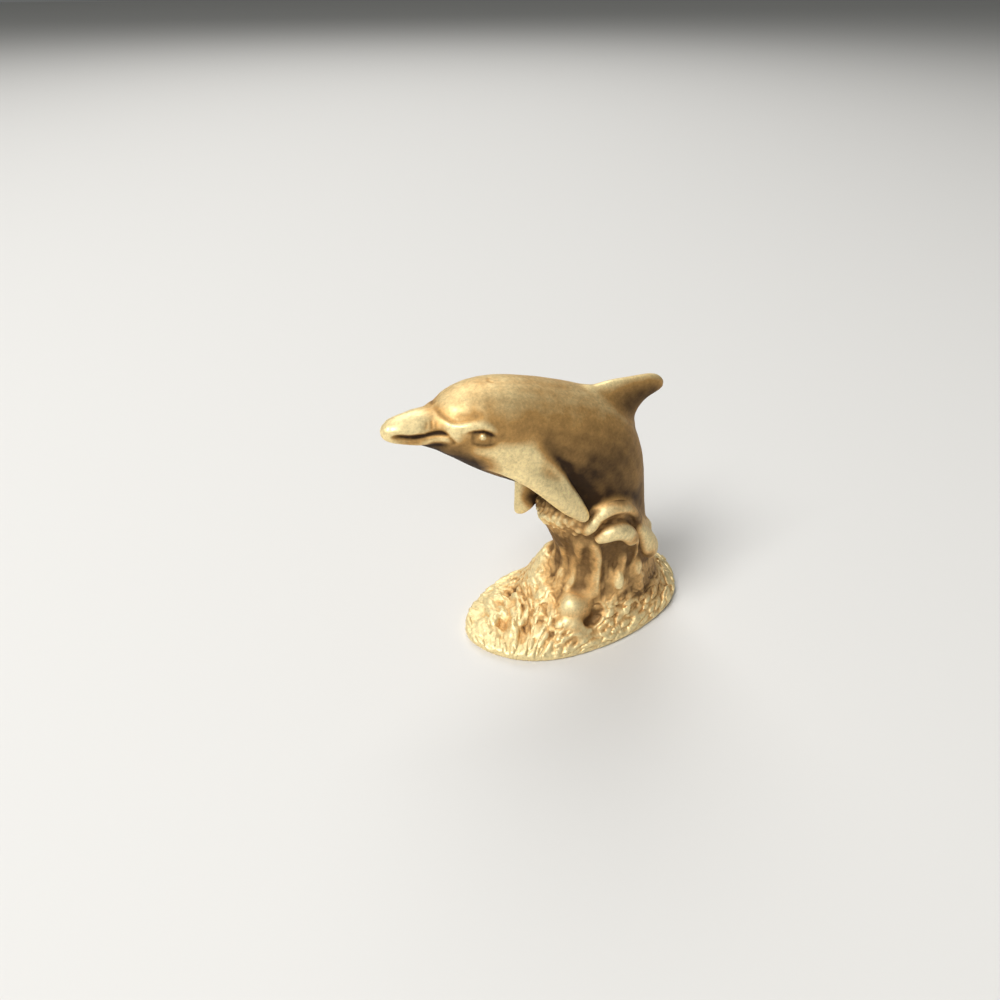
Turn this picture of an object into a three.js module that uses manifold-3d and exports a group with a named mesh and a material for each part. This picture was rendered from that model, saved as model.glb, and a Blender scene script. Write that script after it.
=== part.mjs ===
// A small cast pewter ornament: a leaping dolphin whose tail stands in a rising wave on a pool of water.
// The pieces are separate castings, let into each other and soft-soldered. Millimetres, +Z up, the beak
// points to -X. The origin is the centre of the flat underside. The near side is -Y, the far side +Y.
import * as THREE from 'three';
import { mergeVertices } from 'three/addons/utils/BufferGeometryUtils.js';
import Module from 'manifold-3d';

const wasm = await Module();
wasm.setup();

// Driving sizes of the pool
const poolLength = 52.4;
const poolWidth = 28.6;
const rimHeight = 1.5;
const edgeChamfer = 0.5;
const poolRise = 2.2; // how far the water climbs from its rim towards the middle
const footRise = 4.6; // the extra climb around the foot of the wave
const footSpread = 3.6; // how far out that climb reaches
const rippleHeight = 0.3;
const rippleLength = 6.2; // from crest to crest
const foldHeight = 0.95; // of the folds of water that run down from the wave to the rim
const foldSpread = 0.85; // half the width of a fold
const nearKnobRise = 4.2; // a rounded lump of water at the near side of the foot
const farKnobRise = 6; // a higher one at the far side

// Driving sizes of the dolphin
const bodyReach = 44.1; // how far ahead of its tail's entry the snout is
const bodyRise = 24.9; // and how far above it
const bodyDepth = 21.6;
const bodyWidth = 18.8;
const tailPegDepth = 17.5; // how far the tail goes down into the wave
const finHeight = 8.9;
const finLength = 12.4; // along the back
const finThickness = 3.4;
const finTenon = 4.5;
const nearFlipperLength = 19.6;
const farFlipperLength = 21.6;
const nearFlipperChord = 6.1;
const farFlipperChord = 7.8;
const flipperThickness = 2.6;
const flipperTenon = 3.4;
const nearFlipperSweep = 44; // degrees that it hangs back from straight down
const nearFlipperSpread = 5; // degrees that it leans out from the flank
const farFlipperSweep = 18;
const farFlipperSpread = -8;
const farFlipperArch = 3.6; // how far its middle bows back
const nearFlipperFullness = -0.3; // how much broader its trailing half grows towards the tip
const farFlipperFullness = 0.35;
const farFlipperBluntness = 0.5; // how much its leading half swells at the tip

// Driving sizes of the wave that carries the dolphin. It closes round the body, so it follows the body's size
const waveHeight = 29; // from the underside to where the middle of the tail goes in
const waveOverhang = 2.4; // how much longer than the body's depth the wave is
const waveTuck = 0.8; // how much narrower than the body it is
const waveLength = bodyDepth + waveOverhang;
const waveWidth = bodyWidth - waveTuck;
const waveBack = 4.6; // how far behind the middle of the pool the wave stands
const tailAhead = 0.4; // how far ahead of the wave's middle the tail goes in
const lipFall = 10.4; // how far the lip falls away at the tail side
const shoulderRise = 2.6; // the round of the water from its lip up to the body
const sheetDepth = 1.1; // how far the sheets of falling water stand out from the wave
const floorUnderWave = 2.6; // metal left under the foot of the wave

// Driving sizes of the curling crests
const lipThickness = 2.9;
const curlThickness = 3.6;
const tongueLength = 12;
const tongueWidth = 5.6;
const tongueThickness = 3.4;

const solderGap = 0.3; // left around every piece that is let into another

const pewter = (colour, roughness) =>
  new THREE.MeshStandardMaterial({ color: colour, roughness, metalness: 0.85 });
const bodyMetal = pewter('#b08f5f', 0.45);
const waterMetal = pewter('#cbab78', 0.55);

const radians = THREE.MathUtils.degToRad;

// Rings of points, all of one count, become one closed solid. A fan round its middle closes each end.
function closedLoft(rings) {
  const count = rings[0].length;
  const middle = (ring) =>
    ring.reduce((sum, point) => sum.add(point), new THREE.Vector3()).divideScalar(count);
  const points = [...rings.flat(), middle(rings[0]), middle(rings.at(-1))];
  const index = [];
  const last = (rings.length - 1) * count;
  for (let i = 0; i < count; i++) {
    const j = (i + 1) % count;
    for (let start = 0; start < last; start += count) {
      const [a, b, c, d] = [start + i, start + j, start + count + i, start + count + j];
      index.push(a, b, d, a, d, c);
    }
    index.push(points.length - 2, j, i);
    index.push(points.length - 1, last + i, last + j);
  }
  const geometry = new THREE.BufferGeometry().setFromPoints(points);
  geometry.setIndex(index);
  return geometry;
}

// A closed geometry as a solid that can be joined and cut. One wound the other way is turned round first.
function solid(geometry) {
  const bare = geometry.clone();
  bare.deleteAttribute('normal');
  bare.deleteAttribute('uv');
  const merged = mergeVertices(bare, 1e-4);
  const vertProperties = merged.attributes.position.array;
  const triVerts = new Uint32Array(merged.index.array);
  const made = new wasm.Manifold(new wasm.Mesh({ numProp: 3, vertProperties, triVerts }));
  if (made.volume() > 0) return made;
  for (let i = 0; i < triVerts.length; i += 3) {
    [triVerts[i + 1], triVerts[i + 2]] = [triVerts[i + 2], triVerts[i + 1]];
  }
  return new wasm.Manifold(new wasm.Mesh({ numProp: 3, vertProperties, triVerts }));
}

// The largest of the separate lumps that a cut may leave
function largest(cutSolid) {
  return cutSolid.decompose().reduce((best, lump) => (lump.volume() > best.volume() ? lump : best));
}

function pieceOf(cutSolid, name, material) {
  const { vertProperties, triVerts } = largest(cutSolid).getMesh();
  const geometry = new THREE.BufferGeometry();
  geometry.setAttribute('position', new THREE.BufferAttribute(vertProperties, 3));
  geometry.setIndex(new THREE.BufferAttribute(triVerts, 1));
  geometry.computeVertexNormals();
  const piece = new THREE.Mesh(geometry, material);
  piece.name = name;
  return piece;
}

// A smooth curve through a table's rows. The first column says where each row stands, the others are values.
function smoothTable(rows) {
  const rowAt = (i) => rows[THREE.MathUtils.clamp(i, 0, rows.length - 1)];
  return (where) => {
    const found = rows.findIndex((row) => row[0] > where);
    const k = Math.max(found < 0 ? rows.length - 1 : found, 1);
    const [before, a, b, after] = [rowAt(k - 2), rowAt(k - 1), rowAt(k), rowAt(k + 1)];
    const span = b[0] - a[0];
    const t = THREE.MathUtils.clamp((where - a[0]) / span, 0, 1);
    return a.slice(1).map((_, i) => {
      const c = i + 1;
      const slopeA = ((b[c] - before[c]) / (b[0] - before[0])) * span;
      const slopeB = ((after[c] - a[c]) / (after[0] - a[0])) * span;
      return (2 * t ** 3 - 3 * t ** 2 + 1) * a[c] + (t ** 3 - 2 * t ** 2 + t) * slopeA
        + (3 * t ** 2 - 2 * t ** 3) * b[c] + (t ** 3 - t ** 2) * slopeB;
    });
  };
}

// An oval ring of points: along and across are its half axes
function oval(centre, along, across, count, squareness = 2) {
  const bend = (value) => Math.sign(value) * Math.abs(value) ** (2 / squareness);
  return Array.from({ length: count }, (_, i) => {
    const turn = (2 * Math.PI * i) / count;
    return centre.clone()
      .addScaledVector(along, bend(Math.cos(turn)))
      .addScaledVector(across, bend(Math.sin(turn)));
  });
}

// The dolphin. Its own frame has its origin where the tail goes into the wave.
// Sections from snout to tail: middle x and z as shares of its reach and rise, lean of the back from upright
// in degrees, and the half depth and half width as shares of the deepest and widest section
const pegShare = tailPegDepth / bodyRise;
const bodySections = smoothTable([
  [0, -1, 0.994, 0, 0.05, 0.06],
  [1, -0.9887, 0.996, 0, 0.115, 0.15],
  [2, -0.9615, 1, 0, 0.165, 0.21],
  [3, -0.9229, 1, 0, 0.21, 0.265],
  [4, -0.8617, 0.988, 0, 0.27, 0.335],
  [5, -0.805, 0.9639, 2, 0.33, 0.42],
  [6, -0.7574, 0.9679, 6, 0.465, 0.565],
  [7, -0.678, 0.9639, 16, 0.63, 0.73],
  [8, -0.5714, 0.9076, 23, 0.78, 0.86],
  [9, -0.4376, 0.8072, 27, 0.88, 0.955],
  [10, -0.3107, 0.7068, 31, 0.94, 1],
  [11, -0.1905, 0.5944, 37, 0.985, 0.99],
  [12, -0.0975, 0.4257, 46, 1, 0.95],
  [13, -0.0431, 0.2008, 61, 0.94, 0.9],
  [14, -0.0159, 0, 76, 0.86, 0.83],
  [15, 0.0454, -0.446 * pegShare, 82, 0.73, 0.7],
  [16, 0.0907, -pegShare, 86, 0.5, 0.48],
]);
const bodyEnd = 16;
const tailEntry = new THREE.Vector3(waveBack - tailAhead, 0, waveHeight);

function bodyFrame(station) {
  const [x, z, lean, deep, wide] = bodySections(station);
  const back = new THREE.Vector3(Math.sin(radians(lean)), 0, Math.cos(radians(lean)));
  const middle = new THREE.Vector3(x * bodyReach, 0, z * bodyRise).add(tailEntry);
  return { middle, back, deep: (deep * bodyDepth) / 2, wide: (wide * bodyWidth) / 2 };
}

// A point on the skin: turn is 0 on the back, 90 on the far flank, 180 on the belly and 270 on the near flank
function onBody(station, turn) {
  const { middle, back, deep, wide } = bodyFrame(station);
  return middle.addScaledVector(back, deep * Math.cos(radians(turn)))
    .add(new THREE.Vector3(0, wide * Math.sin(radians(turn)), 0));
}

function bodySolid(extra = 0) {
  const steps = 36;
  const rings = [];
  for (let i = 0; i <= steps; i++) {
    const { middle, back, deep, wide } = bodyFrame((bodyEnd * i) / steps);
    if (i === steps) middle.z -= extra;
    const across = new THREE.Vector3(0, wide + extra, 0);
    rings.push(oval(middle, back.multiplyScalar(deep + extra), across, 24, 2.1));
  }
  return solid(closedLoft(rings));
}

// The fin stands on the back. Rows: height above the back as a share of the fin's height, then the front
// edge, the rear edge and the half thickness as shares of its length and thickness
const finRows = smoothTable([
  [-1, -0.4, 0.42, 0.5],
  [-0.12, -0.5, 0.58, 0.54],
  [0, -0.43, 0.52, 0.5],
  [0.15, -0.35, 0.475, 0.42],
  [0.34, -0.23, 0.455, 0.35],
  [0.56, -0.03, 0.47, 0.3],
  [0.8, 0.18, 0.545, 0.24],
  [0.94, 0.31, 0.575, 0.18],
  [1, 0.4, 0.53, 0.08],
]);
const finFrom = 10.6; // the sections of the body that the fin spans
const finTo = 12.15;

function finSolid(extra = 0) {
  const front = onBody(finFrom, 0);
  const rear = onBody(finTo, 0);
  const chord = rear.clone().sub(front).normalize();
  const up = new THREE.Vector3(-chord.z, 0, chord.x);
  const root = front.clone().add(rear).multiplyScalar(0.5);
  const steps = 15;
  const rings = [];
  for (let i = 0; i <= steps; i++) {
    const share = i < 3 ? [-1, -0.3, -0.12][i] : (i - 3) / (steps - 3);
    const [from, to, half] = finRows(share);
    const height = share < 0 ? share * finTenon : share * finHeight;
    const end = i === 0 ? -extra : i === steps ? extra : 0;
    const middle = root.clone()
      .addScaledVector(up, height + end)
      .addScaledVector(chord, ((from + to) / 2) * finLength);
    const along = chord.clone().multiplyScalar(((to - from) / 2) * finLength + extra);
    rings.push(oval(middle, along, new THREE.Vector3(0, half * finThickness + extra, 0), 16));
  }
  return solid(closedLoft(rings));
}

// A flipper hangs from the flank. Rows: share of its length, then the leading edge and the trailing edge as
// shares of its chord, and the half thickness and how far it bows out as shares of its thickness
const flipperRows = smoothTable([
  [-0.17, -0.42, 0.5, 0.5, -1],
  [0, -0.36, 0.6, 0.56, -0.23],
  [0.12, -0.28, 0.7, 0.52, 0.135],
  [0.33, -0.25, 0.74, 0.46, 0.345],
  [0.5, -0.25, 0.67, 0.42, 0.365],
  [0.69, -0.25, 0.55, 0.38, 0.29],
  [0.86, -0.23, 0.4, 0.33, 0.155],
  [0.97, -0.14, 0.23, 0.22, 0.04],
  [1, 0, 0.08, 0.08, 0],
]);
const flipperStation = 8.8;
const flipperTurn = 62; // degrees from the belly, up the flank
const trailingTuck = 0.3; // how far the trailing edge turns in to the flank

function flipperSolid(side, { length, chord, sweep, spread, arch, fullness, bluntness }, extra = 0) {
  const root = onBody(flipperStation, 180 + side * flipperTurn);
  const level = Math.cos(radians(spread));
  const hang = new THREE.Vector3(
    Math.sin(radians(sweep)) * level, -side * Math.sin(radians(spread)), -Math.cos(radians(sweep)) * level);
  const trailing = new THREE.Vector3(Math.cos(radians(sweep)), side * trailingTuck, Math.sin(radians(sweep)));
  const outward = new THREE.Vector3().crossVectors(hang, trailing).normalize().multiplyScalar(side);
  trailing.crossVectors(outward, hang).normalize().multiplyScalar(side);
  const steps = 16;
  const rings = [];
  for (let i = 0; i <= steps; i++) {
    const along = Math.sin((Math.PI / 2) * (i / steps)); // closer steps at the tip
    const reach = along * (length + flipperTenon) - flipperTenon;
    const share = reach / length;
    const [front, rear, half, bow] = flipperRows(share);
    const lead = front * (1 + bluntness * Math.max(share, 0) ** 3);
    const trail = rear * (1 + fullness * Math.max(share, 0));
    const back = 4 * arch * Math.max(share, 0) * (1 - share);
    const end = i === 0 ? -extra : i === steps ? extra : 0;
    const middle = root.clone()
      .addScaledVector(hang, reach + end)
      .addScaledVector(outward, bow * flipperThickness)
      .addScaledVector(trailing, back + ((lead + trail) / 2) * chord);
    const across = trailing.clone().multiplyScalar(((trail - lead) / 2) * chord + extra);
    rings.push(oval(middle, across, outward.clone().multiplyScalar(half * flipperThickness + extra), 14));
  }
  return solid(closedLoft(rings));
}

// The wave. Rows: height as a share of the wave's height, then how far the section stands behind the wave's
// middle and its half length, as shares of the wave's length, and its half width as a share of its width
const waveRows = smoothTable([
  [0.08, 0.025, 0.55, 0.52],
  [0.27, 0.0375, 0.545, 0.53],
  [0.41, 0.054, 0.48, 0.505],
  [0.55, 0.05, 0.435, 0.485],
  [0.67, 0.017, 0.445, 0.485],
  [0.83, -0.05, 0.475, 0.49],
  [0.93, -0.0875, 0.5, 0.495],
  [1.1, -0.15, 0.535, 0.485],
]);
// How far the lip stands above the wave's height, as a share of its fall at the tail side, by turn: 0 at the
// tail side, 90 far, 180 beak, 270 near
const lipRows = smoothTable([
  [-30, -0.827], [0, -1], [40, -0.731], [90, 0], [135, -0.058], [180, -0.077], [215, -0.019], [245, 0.019],
  [270, 0.154], [288, 0], [305, -0.462], [330, -0.827], [360, -1], [400, -0.731],
]);

function onWave(height, turn, out = 0) {
  const [shift, long, wide] = waveRows(height / waveHeight);
  return new THREE.Vector3(
    waveBack + shift * waveLength + (long * waveLength + out) * Math.cos(radians(turn)),
    (wide * waveWidth + out) * Math.sin(radians(turn)),
    height,
  );
}

// Sheets of water that hang down the near side of the wave. Each swells softly towards its edge and then
// drops away. Edges: height as a share of the wave's height, turn. Soft and crisp are degrees before and past
// the edge, and a rise below nought is a hollow. The far side has the same sheets, a little lower.
const sheets = [
  { rise: 0.6, soft: 10, crisp: 5, edge: [[0.3, 194], [0.47, 196], [0.58, 195], [0.75, 202]] },
  { rise: 0.8, soft: 9, crisp: 5, edge: [[0.3, 208], [0.42, 210], [0.54, 210], [0.71, 221], [0.83, 230]] },
  { rise: 1, soft: 11, crisp: 4, edge: [[0.33, 240], [0.4, 242], [0.54, 240], [0.68, 245], [0.84, 246]] },
  { rise: -0.9, soft: 9, crisp: 9, edge: [[0.5, 255], [0.65, 257], [0.8, 258]] },
  { rise: 0.6, soft: 6, crisp: 4, edge: [[0.26, 262], [0.4, 261], [0.49, 261]] },
  { rise: 0.7, soft: 6, crisp: 5, edge: [[0.32, 268], [0.43, 268], [0.53, 271], [0.66, 275]] },
  { rise: 0.6, soft: 7, crisp: 5, edge: [[0.26, 292], [0.4, 290], [0.52, 288]] },
].map(({ edge, ...rest }) => ({ ...rest, from: edge[0][0], to: edge.at(-1)[0], edgeAt: smoothTable(edge) }));
const farSheetDrop = 0.06;

function sheetRise(share, turn) {
  const near = turn > 180;
  const [height, around] = near ? [share, turn] : [share + farSheetDrop, 360 - turn];
  return sheets.reduce((sum, { rise, soft, crisp, from, to, edgeAt }) => {
    const past = around - edgeAt(height)[0];
    const fade = THREE.MathUtils.smoothstep(height, from - 0.05, from + 0.05)
      * (1 - THREE.MathUtils.smoothstep(height, to - 0.05, to + 0.05));
    return sum + rise * sheetDepth * fade * Math.exp(-((past / (past < 0 ? soft : crisp)) ** 2));
  }, 0);
}

function waveSolid(extra = 0) {
  const turns = Array.from({ length: 72 }, (_, k) => 5 * k);
  const steps = 18;
  const rings = [];
  for (let i = 0; i <= steps; i++) {
    rings.push(turns.map((turn) => {
      const climb = waveHeight + lipRows(turn)[0] * lipFall - floorUnderWave;
      const height = floorUnderWave + (climb * i) / steps;
      const point = onWave(height, turn, extra + sheetRise(height / waveHeight, turn));
      if (i === 0) point.z -= extra;
      return point;
    }));
  }
  const lip = rings.at(-1);
  for (const share of [0.35, 0.7, 1]) {
    const inward = 0.6 * (1 - Math.sqrt(1 - share ** 2));
    rings.push(lip.map(({ x, y, z }) => new THREE.Vector3(
      THREE.MathUtils.lerp(x, waveBack, inward), y * (1 - inward), z + shoulderRise * share)));
  }
  return solid(closedLoft(rings));
}

// A roll of water that lies on the wave, along stops: how far each stands above the wave's height as a share
// of the lip's fall, its turn, and how far out it lies as a share of the roll's thickness
function rollSolid(stops, thickness, taper, extra = 0) {
  const curve = new THREE.CatmullRomCurve3(
    stops.map(([rise, turn, out]) => onWave(waveHeight + rise * lipFall, turn, out * thickness)));
  const steps = 4 * (stops.length - 1);
  const rings = [];
  for (let i = 0; i <= steps; i++) {
    const point = curve.getPointAt(i / steps);
    const tangent = curve.getTangentAt(i / steps);
    const outward = new THREE.Vector3(point.x - waveBack, point.y, 0).normalize();
    const across = new THREE.Vector3().crossVectors(tangent, outward).normalize();
    outward.crossVectors(across, tangent).normalize();
    const [size] = taper(i / steps);
    const half = (thickness / 2) * size + extra;
    const end = i === 0 ? -extra : i === steps ? extra : 0;
    point.addScaledVector(tangent, end);
    rings.push(oval(point, across.multiplyScalar(half), outward.multiplyScalar(half), 10));
  }
  return solid(closedLoft(rings));
}

// A tongue of water that hangs over the wave's shoulder, broad and round at its lower end
const tongueRows = smoothTable([
  [0, 0.1, 0.22], [0.3, 0.3, 0.4], [0.65, 0.48, 0.5], [0.88, 0.42, 0.42], [1, 0.12, 0.14],
]);

function tongueSolid({ rise, fromTurn, toTurn }, extra = 0) {
  const top = waveHeight + rise * lipFall;
  const start = onWave(top, fromTurn, tongueThickness * 0.06);
  const towards = onWave(top - tongueLength, toTurn, tongueThickness * 0.35);
  const along = towards.clone().sub(start).normalize();
  const outward = new THREE.Vector3(Math.cos(radians(toTurn)), Math.sin(radians(toTurn)), 0);
  const across = new THREE.Vector3().crossVectors(along, outward).normalize();
  outward.crossVectors(across, along).normalize();
  const steps = 12;
  const rings = [];
  for (let i = 0; i <= steps; i++) {
    const share = Math.sin((Math.PI / 2) * (i / steps)); // closer steps at the round end
    const [half, thick] = tongueRows(share);
    const end = i === 0 ? -extra : i === steps ? extra : 0;
    const middle = start.clone().addScaledVector(along, share * tongueLength + end);
    rings.push(oval(middle, across.clone().multiplyScalar(half * tongueWidth + extra),
      outward.clone().multiplyScalar(thick * tongueThickness + extra), 12));
  }
  return solid(closedLoft(rings));
}

// The pool: its outline as shares of its half length and half width, from the tail end by way of the far side
const poolOutline = new THREE.CatmullRomCurve3([
  [1, 0.22], [0.93, 0.58], [0.62, 0.86], [0.15, 0.985], [-0.32, 0.985], [-0.66, 0.77], [-0.92, 0.38],
  [-1, -0.04], [-0.86, -0.52], [-0.56, -0.88], [-0.1, -1], [0.44, -0.85], [0.83, -0.47],
].map(([x, y]) => new THREE.Vector3((x * poolLength) / 2, (y * poolWidth) / 2, 0)), true, 'centripetal');

// Lumps on the pool: place from the wave's middle, half lengths and rise. Those along x are shares of the
// pool's length, those along y of its width
const knobs = [
  { x: -0.212, y: -0.318, long: 0.0706, wide: 0.112, rise: nearKnobRise },
  { x: -0.179, y: 0.189, long: 0.084, wide: 0.168, rise: farKnobRise },
];

// Folds of water, as curves over the pool in shares of its half length and half width. The near ones run as
// the ornament's do, the far ones are their like. A rise below nought is a hollow.
const folds = [
  { rise: 1, path: [[0.4, -0.6], [0.36, -0.63], [0.27, -0.66], [0.22, -0.72], [0.16, -0.81], [0.06, -0.89]] },
  { rise: 1, path: [[0.59, -0.43], [0.54, -0.61], [0.47, -0.73], [0.39, -0.83], [0.27, -0.9]] },
  { rise: 0.9, path: [[0.67, -0.38], [0.69, -0.52], [0.63, -0.63], [0.56, -0.72]] },
  { rise: 0.8, path: [[0.82, -0.17], [0.8, -0.37], [0.73, -0.54], [0.64, -0.67]] },
  { rise: 0.9, path: [[0.18, -0.62], [0.13, -0.65], [0.08, -0.72], [0.03, -0.81], [-0.04, -0.87]] },
  { rise: -0.7, path: [[0.47, -0.6], [0.42, -0.66], [0.33, -0.75], [0.24, -0.84]] },
  { rise: -0.5, path: [[0.25, -0.64], [0.19, -0.69], [0.13, -0.78], [0.07, -0.85]] },
  { rise: 0.5, path: [[-0.72, 0.37], [-0.76, 0.08], [-0.79, -0.17], [-0.8, -0.37]] },
  { rise: 1, path: [[-0.54, 0.01], [-0.63, -0.2], [-0.69, -0.37], [-0.7, -0.55]] },
  { rise: 0.9, path: [[-0.44, -0.32], [-0.5, -0.4], [-0.57, -0.57], [-0.62, -0.7]] },
  { rise: 0.9, path: [[-0.38, -0.46], [-0.45, -0.59], [-0.52, -0.72]] },
  { rise: 0.9, path: [[-0.33, -0.68], [-0.4, -0.76], [-0.47, -0.82]] },
  { rise: 0.8, path: [[-0.26, -0.77], [-0.33, -0.83], [-0.4, -0.88]] },
  { rise: 0.8, path: [[-0.14, -0.81], [-0.22, -0.87], [-0.31, -0.92]] },
  { rise: -0.9, path: [[-0.74, -0.1], [-0.66, -0.07], [-0.73, -0.2], [-0.78, -0.33]] },
  { rise: -0.8, path: [[-0.57, -0.3], [-0.62, -0.44], [-0.66, -0.61]] },
  { rise: -1.1, path: [[-0.35, -0.59], [-0.25, -0.68], [-0.15, -0.71], [-0.06, -0.68], [-0.05, -0.6]] },
  { rise: -1, path: [[-0.14, -0.74], [-0.07, -0.74], [-0.05, -0.64]] },
  { rise: 0.8, path: [[-0.47, 0.6], [-0.41, 0.32], [-0.35, 0.1]] },
  { rise: -0.8, path: [[-0.5, 0.36], [-0.46, 0.2], [-0.5, 0.08]] },
  { rise: 1, path: [[0.45, 0.62], [0.38, 0.66], [0.3, 0.73], [0.2, 0.84]] },
  { rise: 0.9, path: [[0.62, 0.5], [0.57, 0.62], [0.5, 0.74], [0.38, 0.86]] },
  { rise: 0.8, path: [[0.74, 0.34], [0.76, 0.48], [0.71, 0.62], [0.62, 0.74]] },
  { rise: 0.7, path: [[0.86, 0.04], [0.87, 0.2], [0.85, 0.38], [0.79, 0.54]] },
  { rise: 0.9, path: [[0.22, 0.67], [0.14, 0.76], [0.04, 0.86], [-0.06, 0.92]] },
  { rise: 0.8, path: [[0.02, 0.72], [-0.06, 0.82], [-0.18, 0.9]] },
  { rise: 0.9, path: [[-0.22, 0.7], [-0.28, 0.8], [-0.37, 0.87]] },
  { rise: 0.8, path: [[-0.6, 0.32], [-0.66, 0.46], [-0.7, 0.56]] },
].map(({ rise, path }) => {
  const stops = path.map(([x, y]) => new THREE.Vector3((x * poolLength) / 2, (y * poolWidth) / 2, 0));
  return { rise, line: new THREE.CatmullRomCurve3(stops).getSpacedPoints(12) };
});

function foldRise(x, y) {
  const place = new THREE.Vector3(x, y, 0);
  return folds.reduce((sum, { rise, line }) => {
    const away = Math.min(...line.map((point) => point.distanceTo(place)));
    return sum + rise * foldHeight * Math.exp(-((away / foldSpread) ** 2));
  }, 0);
}

function poolHeight(x, y, share) {
  const [footShift, footLong, footWide] = waveRows(0.25);
  const footX = (x - waveBack - footShift * waveLength) / (footLong * waveLength);
  const away = Math.hypot(footX, y / (footWide * waveWidth));
  const outside = (Math.max(away - 1, 0) * waveWidth) / 2;
  const climb = Math.exp(-((outside / footSpread) ** 1.4));
  const knob = knobs.reduce((sum, { x: atX, y: atY, long, wide, rise }) => {
    const across = (x - waveBack) / poolLength - atX;
    const up = y / poolWidth - atY;
    return sum + rise * Math.exp(-(Math.hypot(across / long, up / wide) ** 2.8));
  }, 0);
  const wavy = (turns) => Math.sin(2 * Math.PI * turns);
  const [along, over] = [x / rippleLength, y / rippleLength];
  const ripple = rippleHeight * (wavy(along + 0.26 * Math.sin(3.4 * over)) + wavy(1.1 * over - 0.35 * along));
  const inside = 1 - share ** 5;
  const fold = foldRise(x, y) * (1 - share ** 9);
  return rimHeight + poolRise * (1 - share ** 2.4) + (footRise * climb + knob + ripple) * inside + fold;
}

function poolSolid() {
  const around = 132;
  const edge = poolOutline.getSpacedPoints(around).slice(0, around);
  const ring = (share, height) => edge.map(({ x, y }) =>
    new THREE.Vector3(x * share, y * share, height ?? poolHeight(x * share, y * share, share)));
  const inset = 1 - (2 * edgeChamfer) / poolWidth;
  const rings = [ring(inset, 0), ring(1, edgeChamfer)];
  rings.push(ring(0.99));
  for (let share = 0.955; share > 0.4; share -= 0.042) rings.push(ring(share));
  for (const share of [0.36, 0.2]) rings.push(ring(share));
  return solid(closedLoft(rings));
}

const nearSide = 1;
const farSide = -1;
const nearPose = {
  length: nearFlipperLength, chord: nearFlipperChord, sweep: nearFlipperSweep, spread: nearFlipperSpread,
  arch: 0, fullness: nearFlipperFullness, bluntness: 0,
};
const farPose = {
  length: farFlipperLength, chord: farFlipperChord, sweep: farFlipperSweep, spread: farFlipperSpread,
  arch: farFlipperArch, fullness: farFlipperFullness, bluntness: farFlipperBluntness,
};
const lipTaper = smoothTable([[0, 0.3], [0.2, 0.85], [0.55, 1], [0.85, 0.6], [1, 0.25]]);
const curlTaper = smoothTable([[0, 0.5], [0.15, 0.9], [0.45, 1], [0.75, 0.7], [1, 0.3]]);
const lipStops = [
  [-0.21, 239, 0.14], [0.02, 247, 0.24], [0.24, 259, 0.21], [0.29, 272, 0.17], [0.1, 286, 0.17],
  [-0.25, 298, 0.1],
];
const curlStops = [
  [-0.35, 247, 0.22], [-0.21, 256, 0.36], [-0.145, 265, 0.42], [-0.2, 273, 0.42], [-0.44, 279, 0.36],
  [-0.79, 281, 0.25], [-1.21, 281, 0.11],
];
const farLipStops = [
  [-0.23, 124, 0.14], [-0.06, 114, 0.24], [0.115, 102, 0.21], [0.115, 89, 0.17], [-0.08, 77, 0.17],
  [-0.385, 68, 0.1],
];
const farCurlStops = [
  [-0.52, 118, 0.17], [-0.385, 108, 0.33], [-0.33, 96, 0.39], [-0.42, 85, 0.39], [-0.67, 77, 0.31],
  [-1.06, 72, 0.14],
];
const tongueRun = { rise: -0.33, fromTurn: 293, toTurn: 320 };
const farTongueRun = { rise: -0.44, fromTurn: 60, toTurn: 38 };

// Each piece that is let into others, as a function of the gap that its seat leaves round it
const letIn = {
  dorsal_fin: finSolid,
  left_flipper: (extra) => flipperSolid(nearSide, nearPose, extra),
  right_flipper: (extra) => flipperSolid(farSide, farPose, extra),
  near_lip: (extra) => rollSolid(lipStops, lipThickness, lipTaper, extra),
  near_curl: (extra) => rollSolid(curlStops, curlThickness, curlTaper, extra),
  near_tongue: (extra) => tongueSolid(tongueRun, extra),
  far_lip: (extra) => rollSolid(farLipStops, lipThickness, lipTaper, extra),
  far_curl: (extra) => rollSolid(farCurlStops, curlThickness, curlTaper, extra),
  far_tongue: (extra) => tongueSolid(farTongueRun, extra),
};
const cutBy = (whole, names) =>
  names.reduce((left, name) => left.subtract(letIn[name](solderGap)), whole);

const flippers = ['left_flipper', 'right_flipper'];
const limbs = ['dorsal_fin', ...flippers];
const rolls = ['near_lip', 'near_curl', 'near_tongue', 'far_lip', 'far_curl', 'far_tongue'];
const bodySeat = bodySolid(solderGap);

const figurine = new THREE.Group();
figurine.add(pieceOf(cutBy(bodySolid(), limbs), 'dolphin_body', bodyMetal));
for (const name of limbs) figurine.add(pieceOf(letIn[name](0), name, bodyMetal));
const seatedWave = waveSolid().subtract(bodySeat);
figurine.add(pieceOf(cutBy(seatedWave, [...rolls, ...flippers]), 'splash_column', waterMetal));
rolls.forEach((name, i) => {
  const earlier = [...rolls.slice(0, i), ...flippers];
  figurine.add(pieceOf(cutBy(letIn[name](0).subtract(bodySeat), earlier), name, waterMetal));
});
figurine.add(pieceOf(poolSolid().subtract(waveSolid(solderGap)), 'water_base', waterMetal));

export default figurine;
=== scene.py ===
import math

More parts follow.
